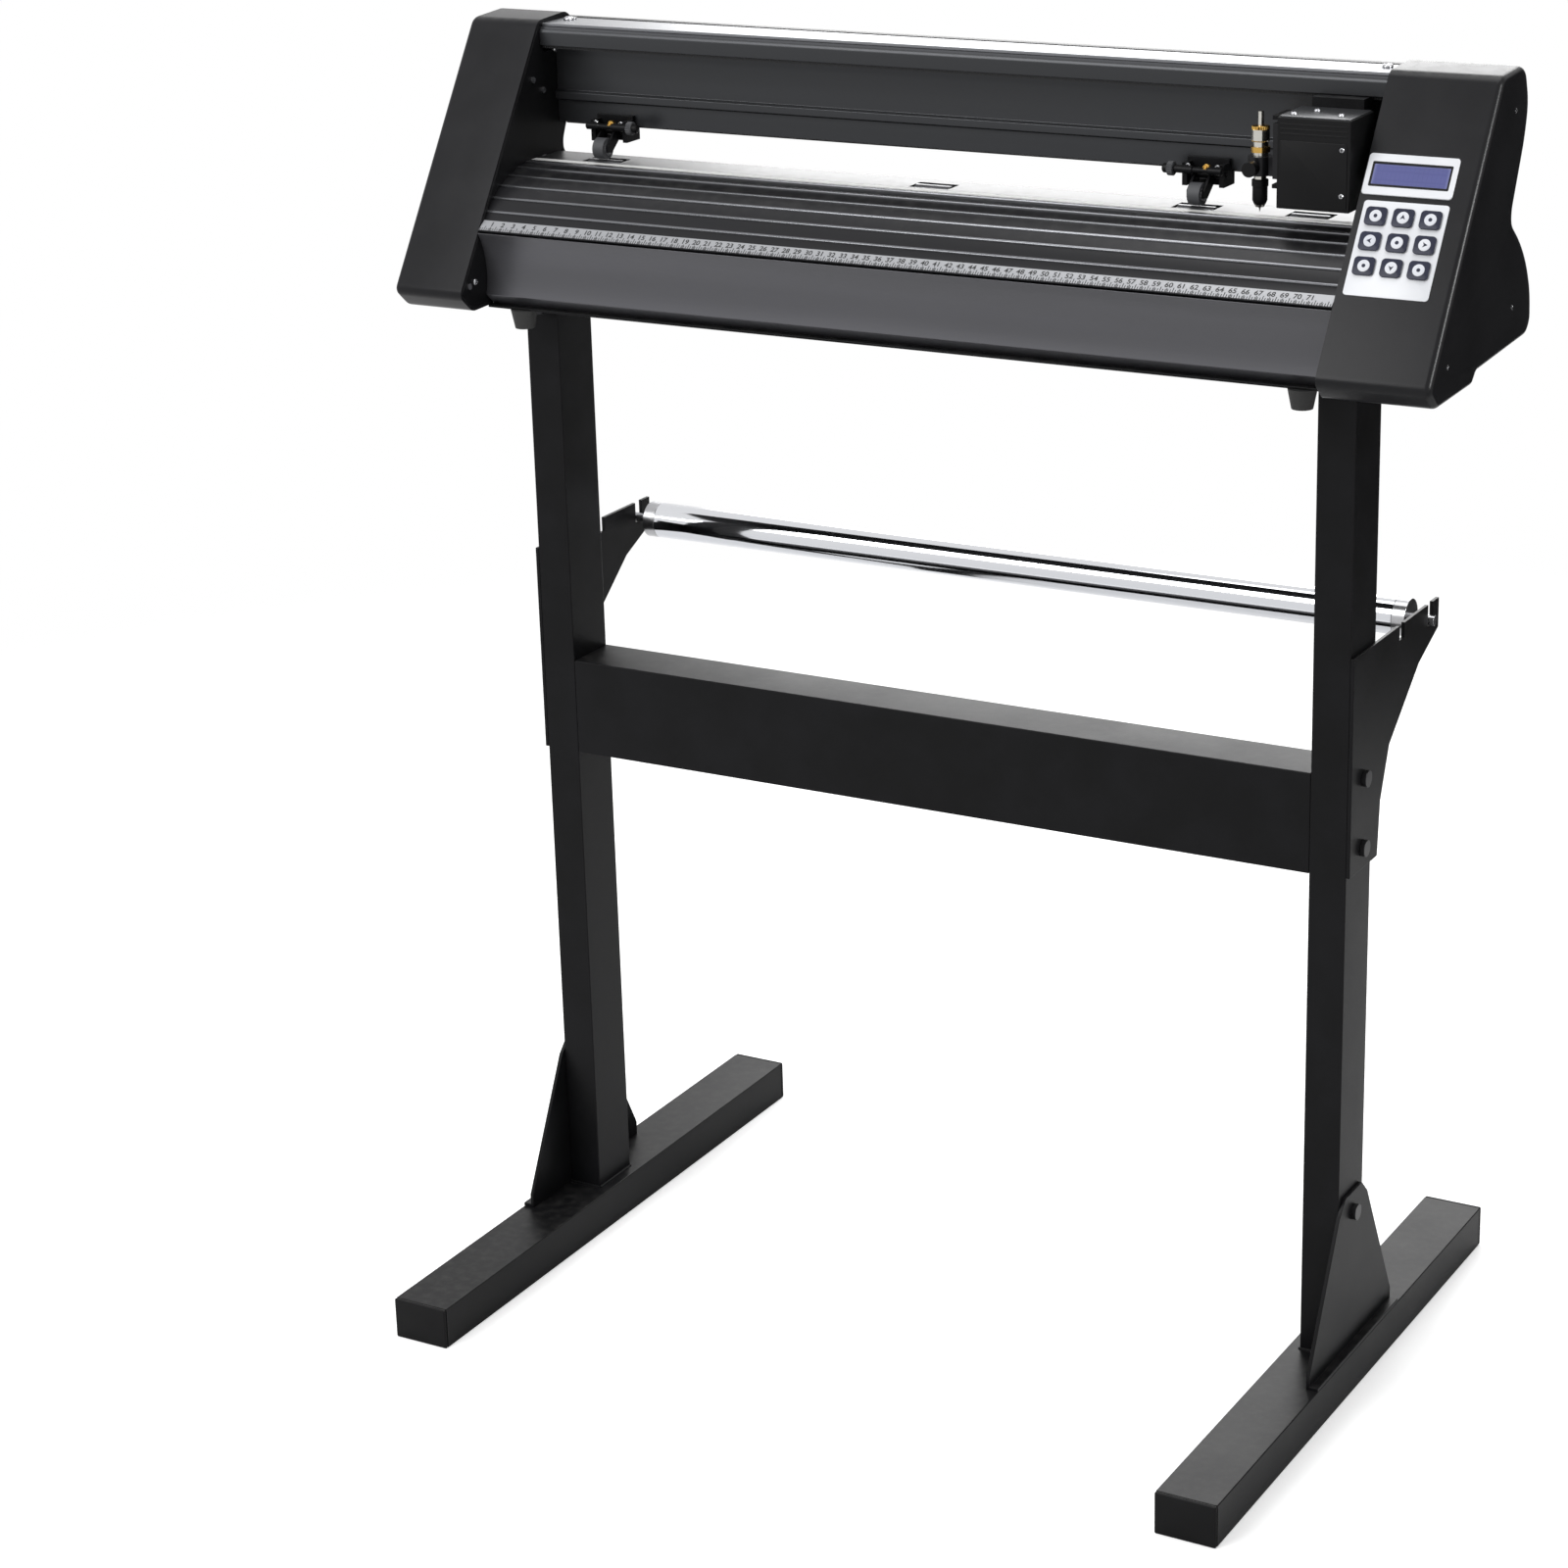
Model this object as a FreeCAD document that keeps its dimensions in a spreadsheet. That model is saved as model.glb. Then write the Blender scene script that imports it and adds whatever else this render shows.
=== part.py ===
import FreeCAD, Part
import Sketcher

import math
import os

# Vinyl cutter on a floor stand. Millimetres, +Z up, +X to the operator's right, -Y towards the operator.
# The origin is on the floor, midway between the feet and midway across the machine.

DRIVING_SIZES = {
    # Stand
    "foot_length": 560, "foot_width": 50, "foot_height": 35, "tube_wall": 2, "cap_face": 3, "cap_plug": 20,
    "post_spacing": 688, "post_width": 30, "post_depth": 50, "stand_height": 822,
    "top_plate_width": 56, "top_plate_depth": 76, "top_plate_gauge": 3,
    "crossbar_bottom": 439, "crossbar_height": 81, "crossbar_gauge": 2, "crossbar_lip": 12,
    "gusset_gauge": 3, "gusset_base": 170, "gusset_top": 58, "gusset_rise": 135, "gusset_corner": 12,
    "bracket_gauge": 3, "bracket_bottom": 440, "bracket_top": 614, "bracket_reach": 150,
    "notch_width": 10, "notch_floor": 596, "near_notch_y": 72, "roller_axle_y": 132,
    "roller_axle_radius": 4, "axle_seat": 0.3, "roller_radius": 15, "roller_wall": 1.5, "roller_length": 670,
    "plug_flange": 11, "bolt_radius": 4, "bolt_head_radius": 6.5, "bolt_head_height": 4,
    "bracket_bolt_low": 457, "bracket_bolt_high": 513, "gusset_bolt_z": 152,
    # Housing across the machine
    "machine_width": 880, "left_cover_width": 65, "right_cover_width": 86, "cover_wall": 2.5,
    "side_plate_gauge": 3,
    # Housing in section: distances from the post centre line (y) and above the base (rise)
    "cover_toe_y": -95, "cover_toe_rise": 16, "cover_brow_y": 37, "cover_height": 218, "cover_crown_y": 78,
    "cover_bulge_y": 94, "cover_bulge_rise": 190, "cover_waist_y": 66, "cover_waist_rise": 116,
    "cover_heel_y": 114, "cover_heel_rise": 26, "cover_sole_rise": 11, "cover_step_y": -2,
    "cover_chin_y": -78, "base_gauge": 2, "base_front_y": -55, "base_back_y": 108, "base_flange_rise": 24,
    "platen_rise": 107, "platen_flat_front": 16, "platen_flat_back": 60, "platen_gauge": 2.5,
    "platen_nose_y": -54, "platen_nose_rise": 71, "platen_edge_y": -64, "platen_edge_rise": 64,
    "platen_front_radius": 95, "platen_back_y": 110, "platen_back_rise": 26, "platen_back_radius": 110,
    "apron_radius": 62, "apron_toe_y": -57, "apron_toe_rise": 11, "apron_gap": 1, "apron_foot_y": -34,
    "groove_depth": 1.2, "groove_width": 4, "groove_pitch": 8.5, "groove_first_y": 8,
    "strip_front_y": 17, "strip_width": 8, "strip_gauge": 0.8, "tape_width": 10.6, "tape_gauge": 0.4,
    # Rail beam and the strips on it
    "rail_web_y": 61, "rail_back_y": 80, "rail_bottom_rise": 131, "rail_top_rise": 211, "rail_gauge": 3,
    "rail_lip_y": 38, "rail_lip_drop": 15, "rail_ridge_rise": 149, "rail_ridge_height": 8, "rail_ridge": 4,
    "rail_heel_y": 67, "rail_shoulder_rise": 163, "top_strip_front": 42, "top_strip_gauge": 2.5,
    "rear_cover_front": 76.5, "rear_cover_gauge": 1.6,
    # Rubber feet
    "rubber_foot_height": 15, "rubber_foot_radius": 11, "rubber_foot_tip": 8,
    "rubber_foot_left_x": -344, "rubber_foot_right_x": 327, "rubber_foot_front_y": -49.5,
    "rubber_foot_back_y": 92,
    # Media feed
    "feed_shaft_y": 37, "grit_radius": 8, "grit_stand_up": 0.6, "feed_shaft_radius": 4, "grit_length": 30,
    "grit_left_x": -315, "grit_middle_x": -16, "grit_right_x": 205, "grit_end_x": 296,
    "window_clearance": 2, "bearing_radius": 8, "bearing_width": 6, "running_clearance": 0.05,
    "feed_pulley_radius": 18, "pulley_width": 9, "pulley_flange": 1.5, "feed_pulley_x": 366,
    "motor_size": 42, "motor_length": 40, "motor_shaft_radius": 2.5, "motor_pulley_radius": 6,
    "feed_motor_y": 12, "feed_motor_rise": 44, "belt_gauge": 1.5, "belt_width": 6,
    # Carriage drive
    "belt_pulley_radius": 5.5, "belt_line_y": 51.5, "belt_rise": 196, "drive_pulley_x": 386,
    "idler_pulley_x": -398,
    # Pinch rollers
    "pinch_wheel_radius": 8.5, "pinch_wheel_width": 10, "pinch_pin_radius": 2, "pinch_left_x": -318,
    "pinch_right_x": 205, "pinch_pivot_y": 52, "pinch_pivot_rise": 129, "pinch_body_width": 34,
    "pinch_grip": 1,
    # Carriage and tool
    "carriage_left_x": 291, "carriage_width": 56, "carriage_front_y": -18, "carriage_rise": 122,
    "carriage_height": 66, "carriage_cover_gauge": 1.5, "tool_x": 262, "tool_y": 21, "blade_gap": 4,
    "holder_radius": 5.7, "lift_travel": 3,
    # Panel on the right cover
    "bezel_x": 389, "bezel_width": 68, "bezel_height": 31, "bezel_slope": 160, "panel_gauge": 1.2,
    "screen_width": 59, "screen_height": 17, "keypad_width": 64, "keypad_height": 72, "keypad_slope": 104,
    "key_width": 16, "key_height": 14, "key_pitch_x": 20.5, "key_pitch_slope": 19, "key_gauge": 1.4,
    "key_travel": 0.6, "key_clearance": 0.3, "key_top_slope": 128,
}

document = FreeCAD.newDocument("cutter")
SHEET_NAME = "Sizes"
sheet = document.addObject("Spreadsheet::Sheet", SHEET_NAME)


class Size:
    """A length held both as a number and as an expression on the sheet's cells."""

    def __init__(self, value, text):
        self.value = value
        self.text = text

    def _join(self, sign, other, value):
        return Size(value, "(%s %s %s)" % (self.text, sign, other.text))

    def __add__(self, other):
        other = as_size(other)
        return self._join("+", other, self.value + other.value)

    def __sub__(self, other):
        other = as_size(other)
        return self._join("-", other, self.value - other.value)

    def __mul__(self, other):
        other = as_size(other)
        return self._join("*", other, self.value * other.value)

    def __truediv__(self, other):
        other = as_size(other)
        return self._join("/", other, self.value / other.value)

    def __radd__(self, other):
        return as_size(other) + self

    def __rsub__(self, other):
        return as_size(other) - self

    def __rmul__(self, other):
        return as_size(other) * self

    def __neg__(self):
        return Size(-self.value, "(-1 * %s)" % self.text)


def as_size(number):
    """Give a plain number the same form as a sheet size."""
    if isinstance(number, Size):
        return number
    return Size(float(number), "(%r)" % float(number))


class SheetSizes:
    """Read a driving size by its alias."""

    def __getattr__(self, alias):
        return Size(float(DRIVING_SIZES[alias]), "%s.%s" % (SHEET_NAME, alias))


def write_sheet():
    """Put every driving size in its own cell."""
    for row, (alias, value) in enumerate(DRIVING_SIZES.items(), start=1):
        sheet.set("A%d" % row, alias)
        sheet.set("B%d" % row, str(value))
        sheet.setAlias("B%d" % row, alias)
    document.recompute()


write_sheet()
S = SheetSizes()

# Places that several pieces share.
HALF_WIDTH = S.machine_width / 2
INNER_LEFT = S.left_cover_width - HALF_WIDTH
INNER_RIGHT = HALF_WIDTH - S.right_cover_width
BASE = S.stand_height
PLATEN_TOP = BASE + S.platen_rise
POST_X = S.post_spacing / 2
POST_FACE = POST_X + S.post_width / 2
RAIL_TOP = BASE + S.rail_top_rise
RAIL_BOTTOM = BASE + S.rail_bottom_rise
GRIT_CENTRE = PLATEN_TOP + S.grit_stand_up - S.grit_radius
LEFT, RIGHT = -1, 1
TURN_TO_X = FreeCAD.Rotation(FreeCAD.Vector(0, 1, 0), 90)
TURN_TO_Y = FreeCAD.Rotation(FreeCAD.Vector(1, 0, 0), -90)
UPRIGHT = FreeCAD.Rotation()
AXIS_TURN = {"X": TURN_TO_X, "Y": TURN_TO_Y, "Z": UPRIGHT}
finished = []


def finish(piece, label):
    """Mark an object as a finished piece that is written to its own file."""
    piece.Label = label
    finished.append(piece)
    return piece


def bind(piece, **sizes):
    """Tie an object's properties to expressions on the sheet."""
    for name, size in sizes.items():
        piece.setExpression(name.replace("_", "."), as_size(size).text)


def place(piece, x, y, z, rotation=None):
    """Tie an object's place to the sheet, with a fixed rotation."""
    if rotation is not None:
        piece.Placement = FreeCAD.Placement(FreeCAD.Vector(), rotation)
    bind(piece, Placement_Base_x=x, Placement_Base_y=y, Placement_Base_z=z)


def block(x_span, y_span, z_span):
    """A box between two bounds along each axis."""
    box = document.addObject("Part::Box", "block")
    bind(box, Length=x_span[1] - x_span[0], Width=y_span[1] - y_span[0], Height=z_span[1] - z_span[0])
    place(box, x_span[0], y_span[0], z_span[0])
    return box


def centred(middle, size):
    """The bounds of a span of a given size about its middle."""
    return (middle - size / 2, middle + size / 2)


def rod(axis, start, radius, length):
    """A cylinder from a start point along an axis."""
    cylinder = document.addObject("Part::Cylinder", "rod")
    bind(cylinder, Radius=radius, Height=length)
    place(cylinder, start[0], start[1], start[2], AXIS_TURN[axis])
    return cylinder


def cone(start, low_radius, high_radius, height):
    """An upright cone."""
    shape = document.addObject("Part::Cone", "cone")
    bind(shape, Radius1=low_radius, Radius2=high_radius, Height=height)
    place(shape, start[0], start[1], start[2])
    return shape


def fuse(*pieces):
    """Join several objects into one solid."""
    joined = document.addObject("Part::MultiFuse", "joined")
    joined.Shapes = list(pieces)
    joined.Refine = True
    return joined


def cut(base, *tools):
    """Take one or more tools away from a base."""
    tool = tools[0]
    if len(tools) > 1:
        tool = document.addObject("Part::Compound", "tools")
        tool.Links = list(tools)
    left_over = document.addObject("Part::Cut", "cut")
    left_over.Base = base
    left_over.Tool = tool
    return left_over


def group(*pieces):
    """Keep several separate solids in one node."""
    together = document.addObject("Part::Compound", "together")
    together.Links = list(pieces)
    return together


def origin_plane(body, role):
    """Find one of a body's own origin planes."""
    for feature in body.Origin.OriginFeatures:
        if feature.Role == role:
            return feature
    raise ValueError(role)


def arc_between(start, end, radius):
    """The arc from start to end of a signed radius: positive bulges to the right of the way along."""
    chord = end - start
    half = chord.Length / 2
    across = FreeCAD.Vector(chord.y, -chord.x, 0).normalize()
    rise = abs(radius) - math.sqrt(radius * radius - half * half)
    side = 1 if radius > 0 else -1
    middle = (start + end) * 0.5 + across * (rise * side)
    return Part.Arc(start, middle, end)


def outline_sketch(sketch, points):
    """Draw a closed outline whose corners, and arc radii where given, are tied to the sheet."""
    corners = [FreeCAD.Vector(as_size(p[0]).value, as_size(p[1]).value, 0) for p in points]
    for index, point in enumerate(points):
        start = corners[index]
        end = corners[(index + 1) % len(points)]
        if len(point) > 2:
            sketch.addGeometry(arc_between(start, end, point[2].value), False)
        else:
            sketch.addGeometry(Part.LineSegment(start, end), False)
    ends = []
    for index, point in enumerate(points):
        reversed_arc = len(point) > 2 and point[2].value < 0
        ends.append((2, 1) if reversed_arc else (1, 2))
    for index in range(len(points)):
        following = (index + 1) % len(points)
        first_end = ends[index][1]
        next_start = ends[following][0]
        sketch.addConstraint(Sketcher.Constraint("Coincident", index, first_end, following, next_start))
    for index, point in enumerate(points):
        vertex = ends[index][0]
        for kind, size in (("DistanceX", point[0]), ("DistanceY", point[1])):
            size = as_size(size)
            number = sketch.addConstraint(Sketcher.Constraint(kind, -1, 1, index, vertex, size.value))
            sketch.setExpression("Constraints[%d]" % number, size.text)
        if len(point) > 2:
            radius = abs(point[2].value)
            number = sketch.addConstraint(Sketcher.Constraint("Radius", index, radius))
            text = point[2].text if point[2].value > 0 else (-point[2]).text
            sketch.setExpression("Constraints[%d]" % number, text)


PLANE_OF_AXIS = {"X": "YZ_Plane", "Y": "XZ_Plane", "Z": "XY_Plane"}


def new_body_sketch(name, role, points):
    """Start a body with one sketch on an origin plane."""
    body = document.addObject("PartDesign::Body", name)
    sketch = body.newObject("Sketcher::SketchObject", name + "_outline")
    sketch.AttachmentSupport = (origin_plane(body, role), [""])
    sketch.MapMode = "FlatFace"
    outline_sketch(sketch, points)
    document.recompute()
    return body, sketch


def extruded(name, points, start, length, axis="X"):
    """A PartDesign body: an outline padded along an axis from a start. Y runs towards the back."""
    body, sketch = new_body_sketch(name, PLANE_OF_AXIS[axis], points)
    pad = body.newObject("PartDesign::Pad", name + "_pad")
    pad.Profile = sketch
    pad.setExpression("Length", as_size(length).text)
    pad.Reversed = axis == "Y"
    if axis == "X":
        place(body, start, 0, 0)
    elif axis == "Y":
        place(body, 0, start, 0)
    else:
        place(body, 0, 0, start)
    document.recompute()
    return body


def turned(name, points, centre, rotation=UPRIGHT):
    """A PartDesign body: an outline of radius and height turned about its own upright axis."""
    body, sketch = new_body_sketch(name, "XZ_Plane", points)
    revolution = body.newObject("PartDesign::Revolution", name + "_turn")
    revolution.Profile = sketch
    revolution.ReferenceAxis = (sketch, ["V_Axis"])
    revolution.Angle = 360.0
    place(body, centre[0], centre[1], centre[2], rotation)
    document.recompute()
    return body


def boxes_mirrored(make):
    """Make the left and the right one of a pair."""
    return [make(side) for side in (LEFT, RIGHT)]


def side_span(side, near, far):
    """Bounds along X of something at these distances out from the middle, on one side."""
    return (near, far) if side > 0 else (-far, -near)


# ---------------------------------------------------------------- Stand


def foot_bar(side):
    """A rectangular tube lying front to back, open at both ends for its caps."""
    half = S.foot_length / 2 - S.cap_face
    middle = POST_X * side
    outer = block(centred(middle, S.foot_width), (-half, half), (as_size(0), S.foot_height))
    bore = block(centred(middle, S.foot_width - S.tube_wall * 2), (-half - 1, half + 1),
                 (S.tube_wall, S.foot_height - S.tube_wall))
    return cut(outer, bore)


def foot_cap(side, end):
    """A plastic end cap: a face over the tube's end and a plug inside it."""
    half = S.foot_length / 2
    middle = POST_X * side
    inner = S.foot_width - S.tube_wall * 2 - 0.4
    low = S.tube_wall + 0.2
    high = S.foot_height - S.tube_wall - 0.2
    if end > 0:
        face_span = (half - S.cap_face, half)
        plug_span = (half - S.cap_face - S.cap_plug, half - S.cap_face)
    else:
        face_span = (-half, -half + S.cap_face)
        plug_span = (-half + S.cap_face, -half + S.cap_face + S.cap_plug)
    face = block(centred(middle, S.foot_width), face_span, (as_size(0), S.foot_height))
    plug = block(centred(middle, inner), plug_span, (low, high))
    return fuse(face, plug)


def post(side):
    """An upright rectangular tube with the plate that carries the machine welded on top."""
    middle = POST_X * side
    top = S.stand_height - S.top_plate_gauge
    outer = block(centred(middle, S.post_width), centred(as_size(0), S.post_depth), (S.foot_height, top))
    bore = block(centred(middle, S.post_width - S.tube_wall * 2),
                 centred(as_size(0), S.post_depth - S.tube_wall * 2), (S.foot_height - 1, top))
    plate = block(centred(middle, S.top_plate_width), centred(as_size(0), S.top_plate_depth),
                  (top, S.stand_height))
    return fuse(cut(outer, bore), plate)


def crossbar():
    """A folded channel between the posts, open at the back, with a turned lip above and below."""
    half = POST_X - S.post_width / 2
    front = -(S.post_depth / 2)
    back = S.post_depth / 2
    low = S.crossbar_bottom
    high = low + S.crossbar_height
    gauge = S.crossbar_gauge
    lip = S.crossbar_lip
    section = [(front, low), (back, low), (back, low + lip), (back - gauge, low + lip),
               (back - gauge, low + gauge), (front + gauge, low + gauge), (front + gauge, high - gauge),
               (back - gauge, high - gauge), (back - gauge, high - lip), (back, high - lip),
               (back, high), (front, high)]
    return extruded("crossbar_channel", section, -half, half * 2)


def foot_gusset(side):
    """A trapezoid plate on the post's outer face with a foot flange along its base."""
    base = S.foot_height
    top = base + S.gusset_rise
    half_base = S.gusset_base / 2
    half_top = S.gusset_top / 2
    corner = S.gusset_corner
    section = [(-half_base, base), (half_base, base), (half_base, base + corner),
               (half_top, top - corner), (half_top - corner, top), (corner - half_top, top),
               (-half_top, top - corner), (-half_base, base + corner)]
    span = side_span(side, POST_FACE, POST_FACE + S.gusset_gauge)
    plate = extruded("gusset_plate", section, span[0], S.gusset_gauge)
    flange_span = side_span(side, POST_FACE, POST_X + S.foot_width / 2)
    flange = block(flange_span, (-half_base, half_base), (base, base + S.gusset_gauge))
    return fuse(plate, flange)


def roller_bracket(side):
    """A plate on the post's outer face that reaches back to two open notches for the media roller."""
    front = -(S.post_depth / 2)
    low = S.bracket_bottom
    high = S.bracket_top
    reach = S.bracket_reach
    half_notch = S.notch_width / 2
    near = S.near_notch_y
    far = S.roller_axle_y
    floor = as_size(S.notch_floor)
    knee = S.post_depth / 2 + 10
    section = [(front, low), (knee - 4, low), (knee, low + 44), (knee + 16, low + 84),
               (reach - 40, high - 42), (reach, high - 24), (reach, high), (far + half_notch, high),
               (far + half_notch, floor), (far - half_notch, floor), (far - half_notch, high),
               (near + half_notch, high), (near + half_notch, floor + 6), (near - half_notch, floor + 6),
               (near - half_notch, high), (front, high)]
    span = side_span(side, POST_FACE, POST_FACE + S.bracket_gauge)
    return extruded("bracket_plate", section, span[0], S.bracket_gauge)


def screw_head(side, face_x, y, z):
    """A button screw on a face that looks sideways, seated on the face."""
    start = face_x if side > 0 else -face_x - S.bolt_head_height
    return rod("X", (start, as_size(y), as_size(z)), S.bolt_head_radius, S.bolt_head_height)


def stand_bolts():
    """Every screw head on the stand: two per roller bracket, one per gusset, two per foot flange."""
    heads = []
    for side in (LEFT, RIGHT):
        bracket_face = POST_FACE + S.bracket_gauge
        gusset_face = POST_FACE + S.gusset_gauge
        heads.append(screw_head(side, bracket_face, 0, S.bracket_bolt_low))
        heads.append(screw_head(side, bracket_face, 0, S.bracket_bolt_high))
        heads.append(screw_head(side, gusset_face, 0, S.gusset_bolt_z))
        middle = POST_X * side
        for end in (LEFT, RIGHT):
            y = end * (S.top_plate_depth / 2 - 6)
            start = S.stand_height - S.top_plate_gauge - S.bolt_head_height
            heads.append(rod("Z", (middle, y, start), S.bolt_head_radius, S.bolt_head_height))
    return group(*heads)


def roller_end(side):
    """An end plug with a shoulder in the roller and an axle that drops into the bracket's notch."""
    half = S.roller_length / 2
    bore = S.roller_radius - S.roller_wall - S.running_clearance
    axle_end = POST_FACE + S.bracket_gauge + 4
    centre = (as_size(0), S.roller_axle_y, S.notch_floor + S.roller_axle_radius + S.axle_seat)
    parts = []
    for radius, near, far in ((bore, half - 25, half + 0.3), (S.roller_radius, half + 0.3, half + S.plug_flange),
                              (S.roller_axle_radius, half + S.plug_flange, axle_end)):
        start = near if side > 0 else -far
        parts.append(rod("X", (start, centre[1], centre[2]), radius, far - near))
    return fuse(*parts)


def roller_tube():
    """The bright media roller."""
    half = S.roller_length / 2
    centre_z = S.notch_floor + S.roller_axle_radius + S.axle_seat
    outer = rod("X", (-half, S.roller_axle_y, centre_z), S.roller_radius, half * 2)
    bore = rod("X", (-half - 1, S.roller_axle_y, centre_z), S.roller_radius - S.roller_wall, half * 2 + 2)
    return cut(outer, bore)


def build_stand():
    """Everything below the machine."""
    finish(foot_bar(LEFT), "left_foot_bar")
    finish(foot_bar(RIGHT), "right_foot_bar")
    finish(group(*[foot_cap(side, end) for side in (LEFT, RIGHT) for end in (LEFT, RIGHT)]), "foot_end_caps")
    finish(post(LEFT), "left_post")
    finish(post(RIGHT), "right_post")
    finish(crossbar(), "crossbar")
    finish(group(*boxes_mirrored(foot_gusset)), "foot_gussets")
    finish(group(*boxes_mirrored(roller_bracket)), "roller_brackets")
    finish(stand_bolts(), "stand_bolts")
    finish(roller_tube(), "media_roller_tube")
    finish(group(*boxes_mirrored(roller_end)), "media_roller_ends")


# ---------------------------------------------------------------- Housing

GROOVES = 6
GROOVE_FALL_RATE = 0.78
ONE = Size(1.0, "(1.0)")


def cover_outline():
    """The side view that the end covers and side plates share: sloped front, waisted back."""
    top = BASE + S.cover_height
    waist = BASE + S.cover_waist_rise
    bulge = BASE + S.cover_bulge_rise
    heel = BASE + S.cover_heel_rise
    sole = BASE + S.cover_sole_rise
    points = [(S.cover_chin_y, BASE + 1), (S.cover_step_y - 5, BASE + 3), (S.cover_step_y + 3, sole),
              (S.cover_heel_y - 8, sole + 5), (S.cover_heel_y, heel), (S.cover_heel_y - 2, heel + 24),
              (S.cover_heel_y - 13, heel + 47), (S.cover_waist_y + 20, waist - 25),
              (S.cover_waist_y, waist - 9), (S.cover_waist_y, waist), (S.cover_bulge_y - 6, bulge - 26),
              (S.cover_bulge_y, bulge), (S.cover_crown_y + 8, top - 5), (S.cover_crown_y, top),
              (S.cover_brow_y, top - 2), (S.cover_toe_y, BASE + S.cover_toe_rise)]
    sketch = document.addObject("Sketcher::SketchObject", "cover_outline")
    sketch.Placement = FreeCAD.Placement(FreeCAD.Vector(), FreeCAD.Rotation(FreeCAD.Vector(1, 1, 1), 120))
    outline_sketch(sketch, points)
    document.recompute()
    return sketch


def inset(outline, amount):
    """The outline drawn in by an amount all round."""
    offset = document.addObject("Part::Offset2D", "inset")
    offset.Source = outline
    offset.Mode = "Pipe"
    offset.Join = "Intersection"
    bind(offset, Value=-as_size(amount))
    document.recompute()
    return offset


def slab(outline, start, length):
    """An outline extended across the machine."""
    extrusion = document.addObject("Part::Extrusion", "slab")
    extrusion.Base = outline
    extrusion.DirMode = "Custom"
    extrusion.Dir = FreeCAD.Vector(1, 0, 0)
    extrusion.Solid = True
    bind(extrusion, LengthFwd=length)
    bind(extrusion, Placement_Base_x=start)
    return extrusion


def end_cover(outline, hollow, side):
    """A moulded end cover: a closed outer wall with a rim, open towards the middle."""
    width = S.right_cover_width if side > 0 else S.left_cover_width
    wall = S.cover_wall
    if side > 0:
        shell = slab(outline, HALF_WIDTH - width, width)
        room = slab(hollow, HALF_WIDTH - width - 1, width + 1 - wall)
    else:
        shell = slab(outline, -HALF_WIDTH, width)
        room = slab(hollow, -HALF_WIDTH + wall, width + 1)
        return cut(shell, room, *socket_boxes(as_size(0.2), as_size(20)), switch_hole())
    return cut(shell, room)


def side_plate(hollow, side):
    """The steel plate inside each cover's rim that carries the beam, the platen and the feed shaft."""
    gauge = S.side_plate_gauge
    start = INNER_RIGHT if side > 0 else INNER_LEFT - gauge
    past = start - 1
    plate = slab(hollow, start, gauge)
    shaft_hole = rod("X", (past, S.feed_shaft_y, GRIT_CENTRE), S.bearing_radius + 0.1, gauge + 2)
    motor_hole = rod("X", (past, S.feed_motor_y, BASE + S.feed_motor_rise), S.motor_shaft_radius + 2,
                     gauge + 2)
    belt_slot = block((past, past + gauge + 2), centred(S.belt_line_y, S.belt_pulley_radius * 2 + 7),
                      centred(BASE + S.belt_rise, S.belt_width + 5))
    return cut(plate, shaft_hole, motor_hole, belt_slot)


def base_plate():
    """The folded steel floor of the machine, with its back edge turned up."""
    gauge = S.base_gauge
    section = [(S.base_front_y, BASE), (S.base_back_y, BASE), (S.base_back_y, BASE + S.base_flange_rise),
               (S.base_back_y - gauge, BASE + S.base_flange_rise), (S.base_back_y - gauge, BASE + gauge),
               (S.base_front_y, BASE + gauge)]
    return extruded("base_sheet", section, INNER_LEFT, INNER_RIGHT - INNER_LEFT)


def platen():
    """The curved bed: ribbed in front, flat under the tool, rolled down at the back, open below."""
    gauge = S.platen_gauge
    top = PLATEN_TOP
    nose = BASE + S.platen_nose_rise
    edge = BASE + S.platen_edge_rise
    low = BASE + S.platen_back_rise
    front_arc = S.platen_front_radius
    back_arc = S.platen_back_radius
    section = [(S.platen_edge_y, edge), (S.platen_edge_y + 1.6, edge - 1.9),
               (S.platen_nose_y + 1.2, nose - gauge, -(front_arc - gauge)),
               (S.platen_flat_front, top - gauge), (S.platen_flat_back, top - gauge, -(back_arc - gauge)),
               (S.platen_back_y - gauge, low), (S.platen_back_y, low, back_arc),
               (S.platen_flat_back, top), (S.platen_flat_front, top, front_arc),
               (S.platen_nose_y, nose)]
    bed = extruded("platen_sheet", section, INNER_LEFT, INNER_RIGHT - INNER_LEFT)
    tools = [block((INNER_LEFT - 1, INNER_RIGHT + 1), (S.strip_front_y, S.strip_front_y + S.strip_width),
                   (top - S.strip_gauge, top + 1))]
    half_slot = S.grit_radius + S.window_clearance
    for middle in (S.grit_left_x, S.grit_middle_x, S.grit_right_x, S.grit_end_x):
        tools.append(block(centred(middle, S.grit_length + S.window_clearance * 2),
                           (S.feed_shaft_y - half_slot, S.feed_shaft_y + half_slot),
                           (top - gauge - 1, top + 1)))
    for count in range(GROOVES):
        groove_y = S.groove_first_y - S.groove_pitch * count
        lower = math.pow(count * GROOVE_FALL_RATE, 2)
        tools.append(block((INNER_LEFT - 1, INNER_RIGHT + 1), (groove_y - S.groove_width, groove_y),
                           (top - S.groove_depth - lower, top + 1)))
    return cut(bed, *tools)


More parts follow.
